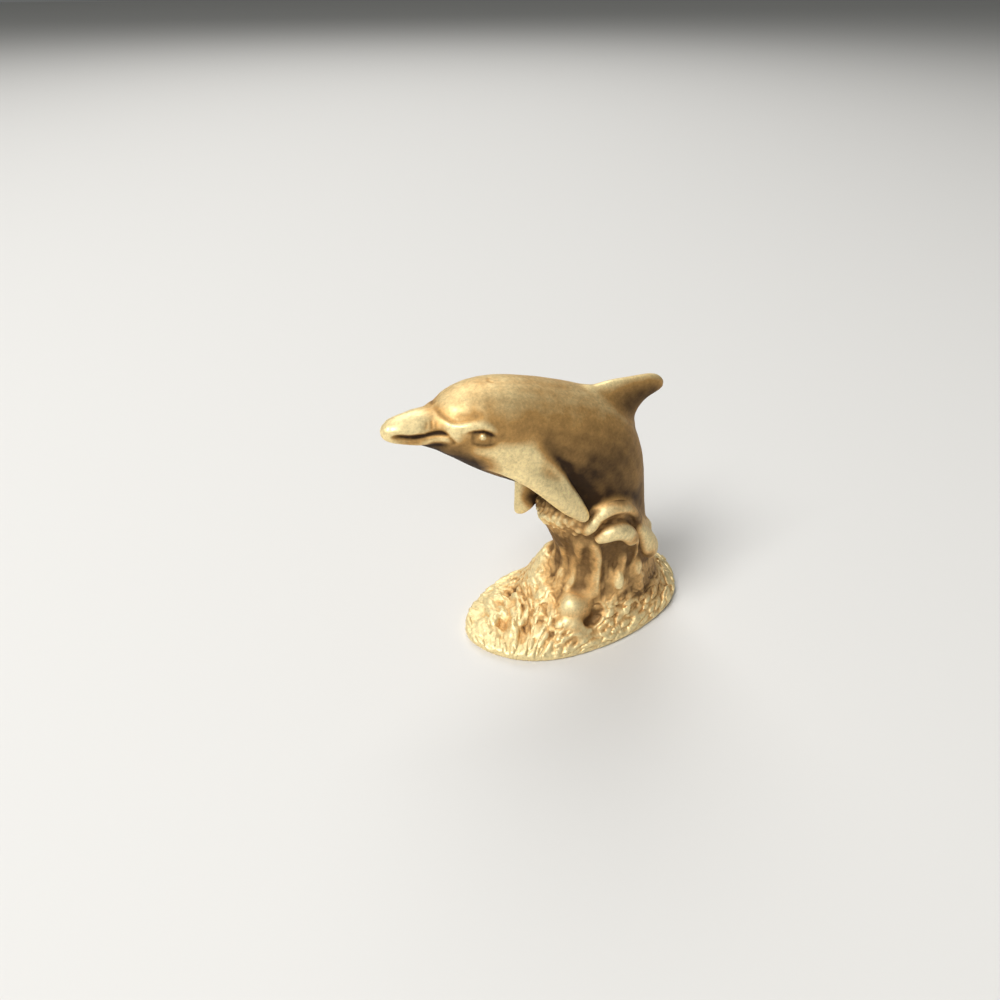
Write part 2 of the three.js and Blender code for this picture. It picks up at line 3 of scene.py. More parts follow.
import bmesh
import bpy
import numpy as np
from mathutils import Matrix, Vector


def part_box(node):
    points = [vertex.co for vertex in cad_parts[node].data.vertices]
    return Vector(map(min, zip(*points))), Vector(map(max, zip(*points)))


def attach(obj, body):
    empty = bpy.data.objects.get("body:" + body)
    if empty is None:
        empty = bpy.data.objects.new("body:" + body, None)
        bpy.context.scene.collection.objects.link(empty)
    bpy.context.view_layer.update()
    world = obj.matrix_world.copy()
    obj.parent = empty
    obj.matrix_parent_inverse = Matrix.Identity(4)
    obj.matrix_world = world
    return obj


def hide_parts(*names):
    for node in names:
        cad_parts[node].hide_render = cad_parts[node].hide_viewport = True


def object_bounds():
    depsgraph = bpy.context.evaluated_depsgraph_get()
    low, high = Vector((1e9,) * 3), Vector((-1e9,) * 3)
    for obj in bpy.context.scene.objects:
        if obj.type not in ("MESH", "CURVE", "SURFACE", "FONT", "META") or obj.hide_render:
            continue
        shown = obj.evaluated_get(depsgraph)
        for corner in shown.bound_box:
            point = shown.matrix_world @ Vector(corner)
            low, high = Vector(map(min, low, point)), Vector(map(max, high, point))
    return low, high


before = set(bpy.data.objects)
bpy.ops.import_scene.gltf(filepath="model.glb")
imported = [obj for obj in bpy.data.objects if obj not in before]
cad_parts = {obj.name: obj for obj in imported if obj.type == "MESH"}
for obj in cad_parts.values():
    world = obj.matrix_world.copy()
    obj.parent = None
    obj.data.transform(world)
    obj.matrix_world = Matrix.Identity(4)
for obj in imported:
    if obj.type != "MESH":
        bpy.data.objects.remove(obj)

import openvdb
from mathutils import Vector

# A cast pewter dolphin leaping out of a curling wave on an oval pool. The castings are modelled like clay:
# the frame's solids are melted together in one block of signed distances, worked over with strokes, beads
# and strands, and parted again along the frame's own joints. Lengths are millimetres until a mesh is made.
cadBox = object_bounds()
millimetre = 0.001
scene = bpy.context.scene

dolphinNodes = ["dolphin_body", "dorsal_fin", "left_flipper", "right_flipper"]
rollNodes = ["near_lip", "near_curl", "near_tongue", "far_lip", "far_curl", "far_tongue"]
waterNodes = ["splash_column", *rollNodes, "water_base"]
nearSide, farSide = -1, 1

# The block of clay. Step is the grain of the modelling, reach how far off the skin distances are kept
block = {"step": 0.2, "margin": 1.6, "reach": 3.0}
pastTheSide = 15.0  # how far out a point starts that is dropped on a flank

blockLow = np.floor((np.array(cadBox[0]) / millimetre - block["margin"]) / block["step"]).astype(int)
blockHigh = np.ceil((np.array(cadBox[1]) / millimetre + block["margin"]) / block["step"]).astype(int)
blockShape = tuple(int(n) for n in blockHigh - blockLow + 1)
rulers = [(blockLow[k] + np.arange(blockShape[k])) * block["step"] for k in range(3)]
blockGrid = openvdb.createLinearTransform(voxelSize=block["step"])


def clayOf(points, faces):  # distances to a closed mesh, negative inside it
    shell = openvdb.FloatGrid.createLevelSetFromPolygons(
        points.astype(np.float32), triangles=faces.astype(np.uint32), transform=blockGrid,
        halfWidth=block["reach"] / block["step"])
    clay = np.full(blockShape, block["reach"], np.float32)
    shell.copyToArray(clay, ijk=tuple(int(n) for n in blockLow))
    return clay


def meshArrays(mesh, weldWithin=1e-7):  # triangles in millimetres. The weld is in metres
    work = bmesh.new()
    work.from_mesh(mesh)
    bmesh.ops.remove_doubles(work, verts=work.verts, dist=weldWithin)
    bmesh.ops.triangulate(work, faces=work.faces)
    work.verts.ensure_lookup_table()
    points = np.array([v.co[:] for v in work.verts]) / millimetre
    faces = np.array([[v.index for v in f.verts] for f in work.faces])
    work.free()
    return points, faces


def smoothBetween(value, low, high):  # 0 at low, 1 at high, eased at both ends
    t = np.clip((value - low) / (high - low), 0, 1)
    return t * t * (3 - 2 * t)


def melted(a, b, reach):  # joins two clays with a fillet that starts where they are reach apart
    near = np.clip(1 - np.abs(a - b) / reach, 0, 1)
    return np.minimum(a, b) - near * near * (reach / 4)


def softened(clay, sigma, tail=2.6):  # a Gaussian blur that reaches tail sigmas, one axis after the other
    taps = int(math.ceil(tail * sigma / block["step"]))
    if taps < 1:
        return clay
    weights = np.exp(-0.5 * (np.arange(-taps, taps + 1) * block["step"] / sigma) ** 2)
    weights = (weights / weights.sum()).astype(np.float32)
    for axis in range(3):
        padded = np.pad(clay, [(taps, taps) if k == axis else (0, 0) for k in range(3)], mode="edge")
        clay = np.zeros_like(clay)
        for offset, weight in enumerate(weights):
            part = [slice(None)] * 3
            part[axis] = slice(offset, offset + blockShape[axis])
            clay += weight * padded[tuple(part)]
    return clay


def readAt(clay, points):  # trilinear samples
    place = np.asarray(points, float) / block["step"] - blockLow
    place = np.clip(place, 0, np.array(clay.shape) - 1.001)
    cell = np.floor(place).astype(int)
    part = place - cell
    total = np.zeros(len(place))
    for corner in np.ndindex(2, 2, 2):
        weight = np.prod(np.where(corner, part, 1 - part), axis=1)
        i, j, k = (cell + corner).T
        total += weight * clay[i, j, k]
    return total


def landing(clay, start, direction, travel=45.0, stride=0.05):  # where a point on the move meets the clay
    steps = np.arange(0, travel, stride)
    way = np.asarray(start, float) + steps[:, None] * np.asarray(direction, float)
    inside = readAt(clay, way) < 0
    return way[inside.argmax()] if inside.any() else None


def onFlank(clay, x, z, side):  # the skin beside the point x, z, or the middle plane past the skin's edge
    found = landing(clay, (x, side * pastTheSide, z), (0, -side, 0), pastTheSide)
    return (x, 0.0, z) if found is None else found


def smoothPath(points, spacing=0.35):  # a Catmull-Rom curve through the points
    points = np.asarray([p for p in points if p is not None], float)
    ends = np.vstack([2 * points[0] - points[1], points, 2 * points[-1] - points[-2]])
    path = []
    for a, b, c, d in zip(ends, ends[1:], ends[2:], ends[3:]):
        count = max(int(np.linalg.norm(c - b) / spacing), 1)
        t = np.arange(count)[:, None] / count
        path.append(0.5 * (2 * b + (c - a) * t + (2 * a - 5 * b + 4 * c - d) * t ** 2
                           + (3 * b - a - 3 * c + d) * t ** 3))
    return np.vstack([*path, points[-1:]])


def boxRound(points, reach):  # the part of the block within reach of the points
    low = (np.min(points, axis=0) - reach) / block["step"] - blockLow
    high = (np.max(points, axis=0) + reach) / block["step"] - blockLow
    low = np.clip(np.floor(low).astype(int), 0, np.array(blockShape) - 1)
    high = np.clip(np.ceil(high).astype(int) + 1, 1, blockShape)
    return tuple(slice(a, b) for a, b in zip(low, high))


def toPath(path, part):  # distance to the path, and the share of the way along it, over part of the block
    x, y, z = np.meshgrid(*[ruler[s] for ruler, s in zip(rulers, part)], indexing="ij")
    spots = np.stack([x, y, z], -1)
    nearest = np.full(x.shape, 1e9)
    share = np.zeros(x.shape)
    lengths = np.linalg.norm(np.diff(path, axis=0), axis=1)
    starts = np.concatenate([[0], np.cumsum(lengths)])
    for a, b, length, start in zip(path, path[1:], lengths, starts):
        along = np.clip((spots - a) @ (b - a) / length ** 2, 0, 1)
        apart = np.linalg.norm(spots - a - along[..., None] * (b - a), axis=-1)
        closer = apart < nearest
        nearest[closer] = apart[closer]
        share[closer] = ((start + along * length) / starts[-1])[closer]
    return nearest, share


# A tool drawn along a path. It sinks the skin, or raises it where depth is negative, and fades out over the
# shares of the way in ends
def stroke(clay, points, width, depth, ends=(0.12, 0.12)):
    path = smoothPath(points)
    part = boxRound(path, 3 * width)
    apart, share = toPath(path, part)
    fade = np.sin(np.clip(share / ends[0], 0, 1) * math.pi / 2)
    fade = fade * np.sin(np.clip((1 - share) / ends[1], 0, 1) * math.pi / 2)
    clay[part] += (depth * np.exp(-((apart / width) ** 2)) * fade).astype(np.float32)


def pressed(clay, centre, radii, depth):  # a thumb print, or a swelling where depth is negative
    part = boxRound(np.array([centre]), 2.6 * max(radii))
    x, y, z = np.meshgrid(*[ruler[s] for ruler, s in zip(rulers, part)], indexing="ij")
    apart = ((x - centre[0]) / radii[0]) ** 2 + ((y - centre[1]) / radii[1]) ** 2
    apart = apart + ((z - centre[2]) / radii[2]) ** 2
    clay[part] += (depth * np.exp(-apart)).astype(np.float32)


def ball(clay, centre, radius, reach):  # a ball of clay set in
    part = boxRound(np.array([centre]), radius + reach + 0.5)
    x, y, z = np.meshgrid(*[ruler[s] for ruler, s in zip(rulers, part)], indexing="ij")
    apart = np.sqrt((x - centre[0]) ** 2 + (y - centre[1]) ** 2 + (z - centre[2]) ** 2) - radius
    clay[part] = melted(clay[part], apart.astype(np.float32), reach)


def lumps(points, size, seed):  # smooth noise from -1 to 1 with lumps of that size
    place = points / size
    cell = np.floor(place).astype(np.int64)
    part = place - cell
    part = part ** 3 * (part * (part * 6 - 15) + 10)
    total = np.zeros(len(points))
    for corner in np.ndindex(2, 2, 2):
        i, j, k = (cell + corner).T
        mixed = (i * 73856093) ^ (j * 19349663) ^ (k * 83492791) ^ (seed * 2654435761)
        mixed = (mixed ^ (mixed >> 13)) * 1274126177 & 0xFFFFFFFF
        value = (mixed ^ (mixed >> 16)) & 0xFFFF
        total += np.prod(np.where(corner, part, 1 - part), axis=1) * (value / 32767.5 - 1)
    return total


def roughen(clay, amount, layerDepth=1.0):  # amount is worked out from the places of the outer layer
    layer = np.nonzero(np.abs(clay) < layerDepth)
    places = np.stack([ruler[n] for ruler, n in zip(rulers, layer)], -1)
    clay[layer] += amount(places).astype(np.float32)


print("melting the castings")
castings = {}
for name in [*dolphinNodes, *waterNodes]:
    castings[name] = clayOf(*meshArrays(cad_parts[name].data))

# The dolphin, worked with the side of a tool at the fin and flipper roots and then smoothed
dolphinWork = {"finRoot": 1.2, "finFillet": 2.4, "flipperFillet": 1.4, "skinSmoothing": 0.55,
               "limbSmoothing": 0.25, "limbRegained": 0.03, "beakSmoothing": 0.3, "beakRegained": 0.06,
               "beakFrom": -33.0, "beakTo": -28.0}

bare = melted(castings["dolphin_body"], castings["dorsal_fin"], dolphinWork["finRoot"])
beak = smoothBetween(rulers[0], dolphinWork["beakTo"], dolphinWork["beakFrom"])[:, None, None]
trunk = softened(bare, dolphinWork["skinSmoothing"]) * (1 - beak)
trunk += (softened(bare, dolphinWork["beakSmoothing"]) - dolphinWork["beakRegained"]) * beak
trunk = trunk.astype(np.float32)
fin = softened(castings["dorsal_fin"], dolphinWork["limbSmoothing"]) - dolphinWork["limbRegained"]
flippers = np.minimum(castings["left_flipper"], castings["right_flipper"])
flippers = softened(flippers, dolphinWork["limbSmoothing"]) - dolphinWork["limbRegained"]
dolphin = melted(melted(trunk, fin, dolphinWork["finFillet"]), flippers, dolphinWork["flipperFillet"])

# Marks on the head, drawn on both flanks as x, z seen from the side. Sunk strokes have a depth above nought
headMarks = {
    "melon edge": {"path": [(-30.7, 57.0), (-30.2, 56.6), (-29.5, 56.1), (-28.8, 55.8), (-28.0, 55.7),
                            (-26.7, 55.9), (-25.3, 56.1)], "width": 0.34, "depth": 0.24, "ends": (0.4, 0.5)},
    "under the melon": {"path": [(-30.2, 57.2), (-29.0, 56.6), (-27.6, 56.4), (-25.8, 56.5), (-23.6, 56.7)],
                        "width": 0.9, "depth": 0.22, "ends": (0.4, 0.5)},
    "bridge": {"path": [(-29.9, 55.6), (-29.2, 54.4), (-28.6, 53.2), (-27.9, 52.0)], "width": 0.8,
               "depth": -0.16, "ends": (0.4, 0.4)},
    "mouth": {"path": [(-39.0, 53.7), (-38.2, 53.7), (-37.4, 53.6), (-36.0, 53.3), (-34.7, 53.3),
                       (-33.3, 53.6), (-32.2, 53.9), (-31.1, 54.0), (-30.3, 53.9), (-29.6, 53.4)],
              "width": 0.34, "depth": 0.58, "ends": (0.16, 0.2)},
    "mouth fold": {"path": [(-38.6, 53.8), (-37.2, 53.75), (-35.8, 53.5), (-34.6, 53.5), (-33.4, 53.7)],
                   "width": 0.6, "depth": 0.5, "ends": (0.3, 0.4)},
    "lower lip": {"path": [(-39.3, 52.9), (-38.0, 52.5), (-36.1, 51.9), (-34.5, 51.8), (-33.3, 52.2),
                           (-32.3, 52.7), (-31.2, 52.9), (-30.2, 52.9), (-29.4, 52.4)],
                  "width": 0.42, "depth": -0.34, "ends": (0.2, 0.12)},
    "lip's end": {"path": [(-32.0, 52.7), (-31.0, 52.8), (-30.0, 52.7)], "width": 0.5, "depth": -0.16,
                  "ends": (0.4, 0.3)},
    "under the lip": {"path": [(-34.2, 51.0), (-32.6, 51.4), (-31.0, 51.7), (-29.4, 51.5)], "width": 0.5,
                      "depth": 0.08, "ends": (0.4, 0.3)},
    "upper lip": {"path": [(-38.9, 54.8), (-37.4, 54.7), (-36.0, 54.5), (-34.7, 54.5), (-33.3, 54.9)],
                  "width": 0.8, "depth": -0.25, "ends": (0.2, 0.4)},
    "mouth corner": {"path": [(-29.7, 53.3), (-29.2, 52.7), (-28.9, 52.1)], "width": 0.34, "depth": 0.14},
    "eye hollow": {"path": [(-26.6, 53.5), (-25.0, 53.2), (-23.0, 52.8)], "width": 0.9, "depth": 0.14},
    "eyeball": {"path": [(-26.1, 53.2), (-25.1, 53.1), (-24.1, 52.9), (-23.1, 52.6)], "width": 0.5,
                "depth": -0.2, "ends": (0.4, 0.4)},
    "brow": {"path": [(-29.2, 55.0), (-28.3, 54.9), (-27.3, 54.95), (-26.3, 55.1), (-25.3, 55.2),
                      (-24.2, 55.1), (-23.2, 54.6), (-22.4, 53.8), (-21.8, 52.9)], "width": 0.72,
             "depth": -0.38, "ends": (0.3, 0.5)},
    "under the lid": {"path": [(-27.3, 54.1), (-26.3, 54.2), (-25.4, 54.2), (-24.6, 54.15), (-23.8, 53.9),
                               (-22.9, 53.4), (-22.3, 52.9)], "width": 0.3, "depth": 0.28,
                      "ends": (0.3, 0.3)},
    "lower crease": {"path": [(-26.6, 52.4), (-25.8, 52.0), (-24.9, 51.7), (-23.8, 51.6), (-22.9, 51.8),
                              (-22.2, 52.2)], "width": 0.3, "depth": 0.17, "ends": (0.3, 0.3)},
    "under the eye": {"path": [(-28.0, 51.9), (-27.1, 51.0), (-26.2, 50.6), (-25.0, 50.3), (-23.7, 50.4),
                               (-22.5, 50.8), (-21.5, 51.5), (-20.6, 52.1)], "width": 1.1,
                      "depth": -0.16, "ends": (0.4, 0.4)},
    "shoulder": {"path": [(-25.5, 47.6), (-22.5, 48.0), (-19.0, 47.6), (-16.0, 45.8), (-13.2, 43.0)],
                 "width": 2.6, "depth": -0.5, "ends": (0.4, 0.5)},
    "flipper swell": {"path": [(-19.5, 46.4), (-16.5, 44.0), (-13.5, 41.0), (-10.5, 37.2), (-8.0, 33.4)],
                      "width": 2.0, "depth": -0.6, "ends": (0.5, 0.35)},
    "flipper ridge": {"path": [(-22.6, 50.0), (-19.0, 49.9), (-16.3, 48.6), (-14.0, 46.7), (-11.8, 44.4),
                               (-9.9, 41.8), (-8.0, 38.4), (-6.4, 34.8)],
                      "width": 1.0, "depth": -0.26, "ends": (0.5, 0.5)},
    "over the ridge": {"path": [(-14.0, 49.4), (-11.9, 47.2), (-9.9, 44.6), (-8.3, 41.6), (-7.0, 38.4)],
                       "width": 0.9, "depth": 0.2, "ends": (0.6, 0.4)},
    "beak tick 1": {"path": [(-32.7, 55.7), (-32.8, 55.2), (-33.1, 54.7)], "width": 0.26, "depth": 0.08},
    "beak tick 2": {"path": [(-31.9, 55.7), (-32.0, 55.1), (-32.3, 54.4)], "width": 0.26, "depth": 0.1},
    "beak tick 3": {"path": [(-31.2, 55.6), (-31.3, 55.0), (-31.5, 54.5)], "width": 0.26, "depth": 0.05},
}
eye = {"x": -24.6, "z": 53.3, "radius": 0.6, "sunk": 0.1, "fillet": 0.15}
blowhole = {"rim": [(-19.9, -1.0), (-20.5, -0.5), (-20.7, 0), (-20.5, 0.5), (-19.9, 1.0)], "above": 66.0,
            "width": 0.3, "depth": 0.08}
skinGrain = {"dents": 6.0, "dentHeight": 0.07, "ripples": 1.6, "rippleHeight": 0.025}

print("working the dolphin")
skin = dolphin.copy()
for side in (nearSide, farSide):
    for mark in headMarks.values():
        path = [onFlank(skin, x, z, side) for x, z in mark["path"]]
        stroke(dolphin, path, mark["width"], mark["depth"], mark.get("ends", (0.12, 0.12)))
    spot = np.array(onFlank(skin, eye["x"], eye["z"], side))
    spot[1] -= side * eye["sunk"]
    ball(dolphin, spot, eye["radius"], eye["fillet"])
rim = [landing(skin, (x, y, blowhole["above"]), (0, 0, -1)) for x, y in blowhole["rim"]]
stroke(dolphin, rim, blowhole["width"], blowhole["depth"])
roughen(dolphin, lambda at: skinGrain["dentHeight"] * lumps(at, skinGrain["dents"], 3)
        + skinGrain["rippleHeight"] * lumps(at, skinGrain["ripples"], 4))

# The water
waterWork = {"footFillet": 2.4, "rollFillet": 0.6, "smoothing": 0.3, "lipFillet": 2.9}

print("working the water")
water = melted(castings["splash_column"], castings["water_base"], waterWork["footFillet"])
for name in rollNodes:
    water = melted(water, castings[name], waterWork["rollFillet"])
water = softened(water, waterWork["smoothing"])

# The sheets of water that hang beside the curls, from tail to beak: their edges as x and z seen from the side
sheets = {
    "beside the curl": {"edge": [(4.9, 24.0), (5.4, 22.2), (5.8, 20.2), (6.0, 17.8), (5.7, 15.2),
                                 (4.8, 12.2)], "groove": 0.95, "depth": 1.3, "crest": 1.4, "height": 0.1},
    "first": {"edge": [(-1.0, 24.0), (-0.1, 21.5), (0.0, 19.4), (0.2, 16.8), (0.2, 14.6), (-0.1, 12.6),
                       (-0.6, 10.2)], "groove": 0.8, "depth": 0.5, "crest": 1.7, "height": 0.16},
    "second": {"edge": [(-4.2, 24.2), (-3.8, 22.2), (-3.3, 20.0), (-3.3, 17.6), (-3.7, 15.2)],
               "groove": 0.8, "depth": 0.16, "crest": 1.5, "height": 0.1},
    "third": {"edge": [(-6.6, 23.3), (-5.8, 21.2), (-4.9, 18.8), (-4.5, 16.6), (-4.6, 15.0)],
              "groove": 0.6, "depth": 0.28, "crest": 1.3, "height": 0.12},
    "in the recess": {"edge": [(3.6, 20.4), (4.2, 18.0), (3.9, 15.6), (3.2, 13.0)],
                      "groove": 0.5, "depth": 0.16, "crest": 1.2, "height": 0.1},
}
besideTheEdge = 0.7  # the groove runs this far in front of a sheet's edge and the crest as far behind it
for sheet in sheets.values():
    for side in (nearSide, farSide):
        groove = [onFlank(water, x + besideTheEdge, z, side) for x, z in sheet["edge"]]
        crest = [onFlank(water, x - besideTheEdge, z, side) for x, z in sheet["edge"]]
        stroke(water, groove, sheet["groove"], sheet["depth"], (0.3, 0.3))
        stroke(water, crest, sheet["crest"], -sheet["height"], (0.3, 0.4))

# A smooth boss swells on the near side of the pool, with a hollow drawn under it
boss = {"x": -4.7, "z": 8.8, "radii": (3.0, 2.4, 2.6), "height": 0.9, "width": 1.0, "depth": 0.9,
        "hollow": [(-4.6, 5.4), (-2.8, 4.7), (-1.0, 5.0), (0.2, 6.2), (0.8, 8.0)]}
path = [onFlank(water, x, z, nearSide) for x, z in boss["hollow"]]
pressed(water, onFlank(water, boss["x"], boss["z"], nearSide), boss["radii"], -boss["height"])
stroke(water, path, boss["width"], boss["depth"], (0.4, 0.4))

# Marks round the lips and curls, and the dimples between the sheets
rollMarks = {
    "under the curl": {"path": [(0.6, 23.6), (2.2, 23.8), (3.8, 23.6), (5.0, 22.6)], "width": 0.8,
                       "depth": 0.6, "ends": (0.3, 0.2)},
    "lip swell": {"path": [(-2.6, 31.8), (-1.0, 32.9), (0.8, 33.2), (2.6, 32.6), (4.0, 31.2)], "width": 1.4,
                  "depth": -0.25, "ends": (0.2, 0.4)},
    "lip root": {"path": [(-2.9, 31.2), (-3.7, 29.6), (-4.6, 27.8), (-5.4, 26.0)], "width": 1.8,
                 "depth": -0.4, "ends": (0.2, 0.4)},
    "lip arch": {"path": [(-2.9, 28.6), (-2.1, 29.9), (-0.6, 31.0), (1.2, 31.3), (3.2, 30.9), (5.2, 28.9),
                          (6.4, 26.4), (6.8, 23.6), (6.8, 21.4)], "width": 0.65, "depth": 0.7,
                 "ends": (0.2, 0.4)},
    "curl end": {"path": [(5.0, 23.4), (5.7, 22.2), (6.2, 20.8), (6.4, 19.6)], "width": 1.1, "depth": 1.2,
                 "ends": (0.2, 0.4)},
}
dimples = {"spots": [(-1.3, 19.3), (-1.6, 15.5), (-2.5, 11.7), (10.5, 12.7)], "radius": 0.5, "depth": 0.24}
for side in (nearSide, farSide):
    for mark in rollMarks.values():
        path = [onFlank(water, x, z, side) for x, z in mark["path"]]
        stroke(water, path, mark["width"], mark["depth"], mark["ends"])
    for x, z in dimples["spots"]:
        pressed(water, onFlank(water, x, z, side), [dimples["radius"]] * 3, dimples["depth"])

# Where the strands of water run, as x, y and the angle in plan, and how they are sown
flowGuides = [(-20, -1, 85), (-17, -5, 65), (-14, -7, 50), (-11, -10, 35), (-8, -12, 18), (-3, -13, 12),
              (3, -12, 30), (8, -11, 28), (13, -9.5, 45), (18, -8, 50), (21, -4, 80), (24, 1, 95),
              (20, 8, 130), (12, 11.5, 155), (4, 13, 175), (-6, 12.5, 170), (-14, 10, 145), (-20, 6, 115),
              (-12, 4, 100), (-11, 0, 75)]
strands = [  # sizes are along the strand, across it and out of the water
    {"Length": 6.0, "Thickness": 2.5, "Bow": 0.8, "Sunk": 0.34, "Spacing": 1.8, "Smallest": (0.6, 0.7, 0.42),
     "Largest": (1.1, 1.1, 0.62), "Scatter": 0.3, "Seed": 11, "fillet": 0.25},
    {"Length": 3.4, "Thickness": 1.5, "Bow": 0.5, "Sunk": 0.12, "Spacing": 1.3, "Smallest": (0.6, 0.6, 0.4),
     "Largest": (1.1, 1.2, 0.6), "Scatter": 0.5, "Seed": 12, "fillet": 0.2},
]
beads = {"Diameter": 1.4, "Spacing": 0.95, "Smallest": 0.35, "Largest": 1.1, "Seed": 5, "fillet": 0.3}
# Strands and beads are cut down to where they stand this proud of the water, and to nothing at the rim
trimming = {"proud": 0.5, "rimFrom": 1.0, "rimTo": 2.4, "smoothing": 0.14}


def polygonsOf(clay, low=(0, 0, 0)):  # the skin of a part of the block that starts at low
    grid = openvdb.FloatGrid(block["reach"])
    grid.transform = blockGrid
    grid.copyFromArray(clay, ijk=tuple(int(n) for n in blockLow + np.array(low)))
    points, triangles, quads = grid.convertToPolygons(isovalue=0.0, adaptivity=0.0)
    return points.astype(float), triangles.astype(np.int64), quads.astype(np.int64)


def meshOf(name, points, quads, triangles=()):  # points in millimetres
    mesh = bpy.data.meshes.new(name)
    mesh.from_pydata((points * millimetre).tolist(), [], [*quads.tolist(), *np.asarray(triangles).tolist()])
    mesh.update()
    return mesh


def addNode(tree, kind, settings=None, inputs=None):  # an input is a value, or a socket to link from
    node = tree.nodes.new(kind)
    for name, value in (settings or {}).items():
        setattr(node, name, value)
    for name, value in (inputs or {}).items():
        if isinstance(value, bpy.types.NodeSocket):
            tree.links.new(value, node.inputs[name])
        else:
            node.inputs[name].default_value = value
    return node


def treeInputs(tree, sizes):  # named sizes of a Geometry Nodes tree
    tree.interface.new_socket("Geometry", in_out="INPUT", socket_type="NodeSocketGeometry")
    tree.interface.new_socket("Geometry", in_out="OUTPUT", socket_type="NodeSocketGeometry")
    for name, kind in sizes.items():
        tree.interface.new_socket(name, in_out="INPUT", socket_type=kind)
    return tree.nodes.new("NodeGroupInput").outputs


# Bowed strands laid on the skin along its flow. Each swells along its length by a sine that is cut off just
# before nought at both ends. The densest sowing is for a square metre, and more than the spacing lets in
strandShape = {"resolution": 8, "sides": 7, "sineFrom": 0.03, "sineOver": 0.94, "roundness": 0.6,
               "densest": 4e6}


def strandTree():
    tree = bpy.data.node_groups.new("water strands", "GeometryNodeTree")
    given = treeInputs(tree, {
        "Length": "NodeSocketFloat", "Thickness": "NodeSocketFloat", "Bow": "NodeSocketFloat",
        "Sunk": "NodeSocketFloat", "Scatter": "NodeSocketFloat", "Spacing": "NodeSocketFloat",
        "Smallest": "NodeSocketVector", "Largest": "NodeSocketVector", "Seed": "NodeSocketInt",
        "Metal": "NodeSocketMaterial"})
    half = addNode(tree, "ShaderNodeMath", {"operation": "MULTIPLY"}, {0: given["Length"], 1: 0.5})
    behind = addNode(tree, "ShaderNodeMath", {"operation": "MULTIPLY"}, {0: given["Length"], 1: -0.5})
    start = addNode(tree, "ShaderNodeCombineXYZ", None, {"X": behind.outputs[0]})
    middle = addNode(tree, "ShaderNodeCombineXYZ", None, {"Y": given["Bow"]})
    end = addNode(tree, "ShaderNodeCombineXYZ", None, {"X": half.outputs[0]})
    line = addNode(tree, "GeometryNodeCurveQuadraticBezier", None, {
        "Resolution": strandShape["resolution"], "Start": start.outputs[0], "Middle": middle.outputs[0],
        "End": end.outputs[0]})
    along = addNode(tree, "GeometryNodeSplineParameter")
    toPi = addNode(tree, "ShaderNodeMath", {"operation": "MULTIPLY"},
                   {0: along.outputs["Factor"], 1: math.pi * strandShape["sineOver"]})
    shifted = addNode(tree, "ShaderNodeMath", {"operation": "ADD"},
                      {0: toPi.outputs[0], 1: math.pi * strandShape["sineFrom"]})
    swell = addNode(tree, "ShaderNodeMath", {"operation": "SINE"}, {0: shifted.outputs[0]})
    rounded = addNode(tree, "ShaderNodeMath", {"operation": "POWER"},
                      {0: swell.outputs[0], 1: strandShape["roundness"]})
    tapered = addNode(tree, "GeometryNodeSetCurveRadius", None,
                      {"Curve": line.outputs[0], "Radius": rounded.outputs[0]})
    radius = addNode(tree, "ShaderNodeMath", {"operation": "MULTIPLY"}, {0: given["Thickness"], 1: 0.5})
    ring = addNode(tree, "GeometryNodeCurvePrimitiveCircle", None,
                   {"Resolution": strandShape["sides"], "Radius": radius.outputs[0]})
    strand = addNode(tree, "GeometryNodeCurveToMesh", None,
                     {"Curve": tapered.outputs[0], "Profile Curve": ring.outputs[0], "Fill Caps": True,
                      "Scale": rounded.outputs[0]})
    sow = addNode(tree, "GeometryNodeInputNamedAttribute", {"data_type": "FLOAT"}, {"Name": "sow"})
    flow = addNode(tree, "GeometryNodeInputNamedAttribute", {"data_type": "FLOAT_VECTOR"}, {"Name": "flow"})
    spots = addNode(tree, "GeometryNodeDistributePointsOnFaces", {"distribute_method": "POISSON"}, {
        "Mesh": given["Geometry"], "Distance Min": given["Spacing"], "Density Max": strandShape["densest"],
        "Density Factor": sow.outputs["Attribute"], "Seed": given["Seed"]})
    down = addNode(tree, "ShaderNodeMath", {"operation": "MULTIPLY"}, {0: given["Sunk"], 1: -1.0})
    inward = addNode(tree, "ShaderNodeVectorMath", {"operation": "SCALE"}, {
        0: spots.outputs["Normal"], "Scale": down.outputs[0]})
    sunk = addNode(tree, "GeometryNodeSetPosition", None, {
        "Geometry": spots.outputs["Points"], "Offset": inward.outputs[0]})
    laid = addNode(tree, "FunctionNodeAlignRotationToVector", {"axis": "X", "pivot_axis": "Z"}, {
        "Rotation": spots.outputs["Rotation"], "Vector": flow.outputs["Attribute"]})
    least = addNode(tree, "ShaderNodeMath", {"operation": "MULTIPLY"}, {0: given["Scatter"], 1: -1.0})
    swing = addNode(tree, "FunctionNodeRandomValue", {"data_type": "FLOAT"}, {
        2: least.outputs[0], 3: given["Scatter"], "Seed": given["Seed"]})
    swung = addNode(tree, "FunctionNodeAxisAngleToRotation", None, {"Angle": swing.outputs[1]})
    turned = addNode(tree, "FunctionNodeRotateRotation", {"rotation_space": "LOCAL"}, {
        "Rotation": laid.outputs[0], "Rotate By": swung.outputs[0]})
    size = addNode(tree, "FunctionNodeRandomValue", {"data_type": "FLOAT_VECTOR"}, {
        0: given["Smallest"], 1: given["Largest"], "Seed": given["Seed"]})
    placed = addNode(tree, "GeometryNodeInstanceOnPoints", None, {
        "Points": sunk.outputs[0], "Instance": strand.outputs[0],
        "Rotation": turned.outputs[0], "Scale": size.outputs["Value"]})
    real = addNode(tree, "GeometryNodeRealizeInstances", None, {"Geometry": placed.outputs[0]})
    metal = addNode(tree, "GeometryNodeSetMaterial", None,
                    {"Geometry": real.outputs[0], "Material": given["Metal"]})
    addNode(tree, "NodeGroupOutput", None, {"Geometry": metal.outputs[0]})
    return tree


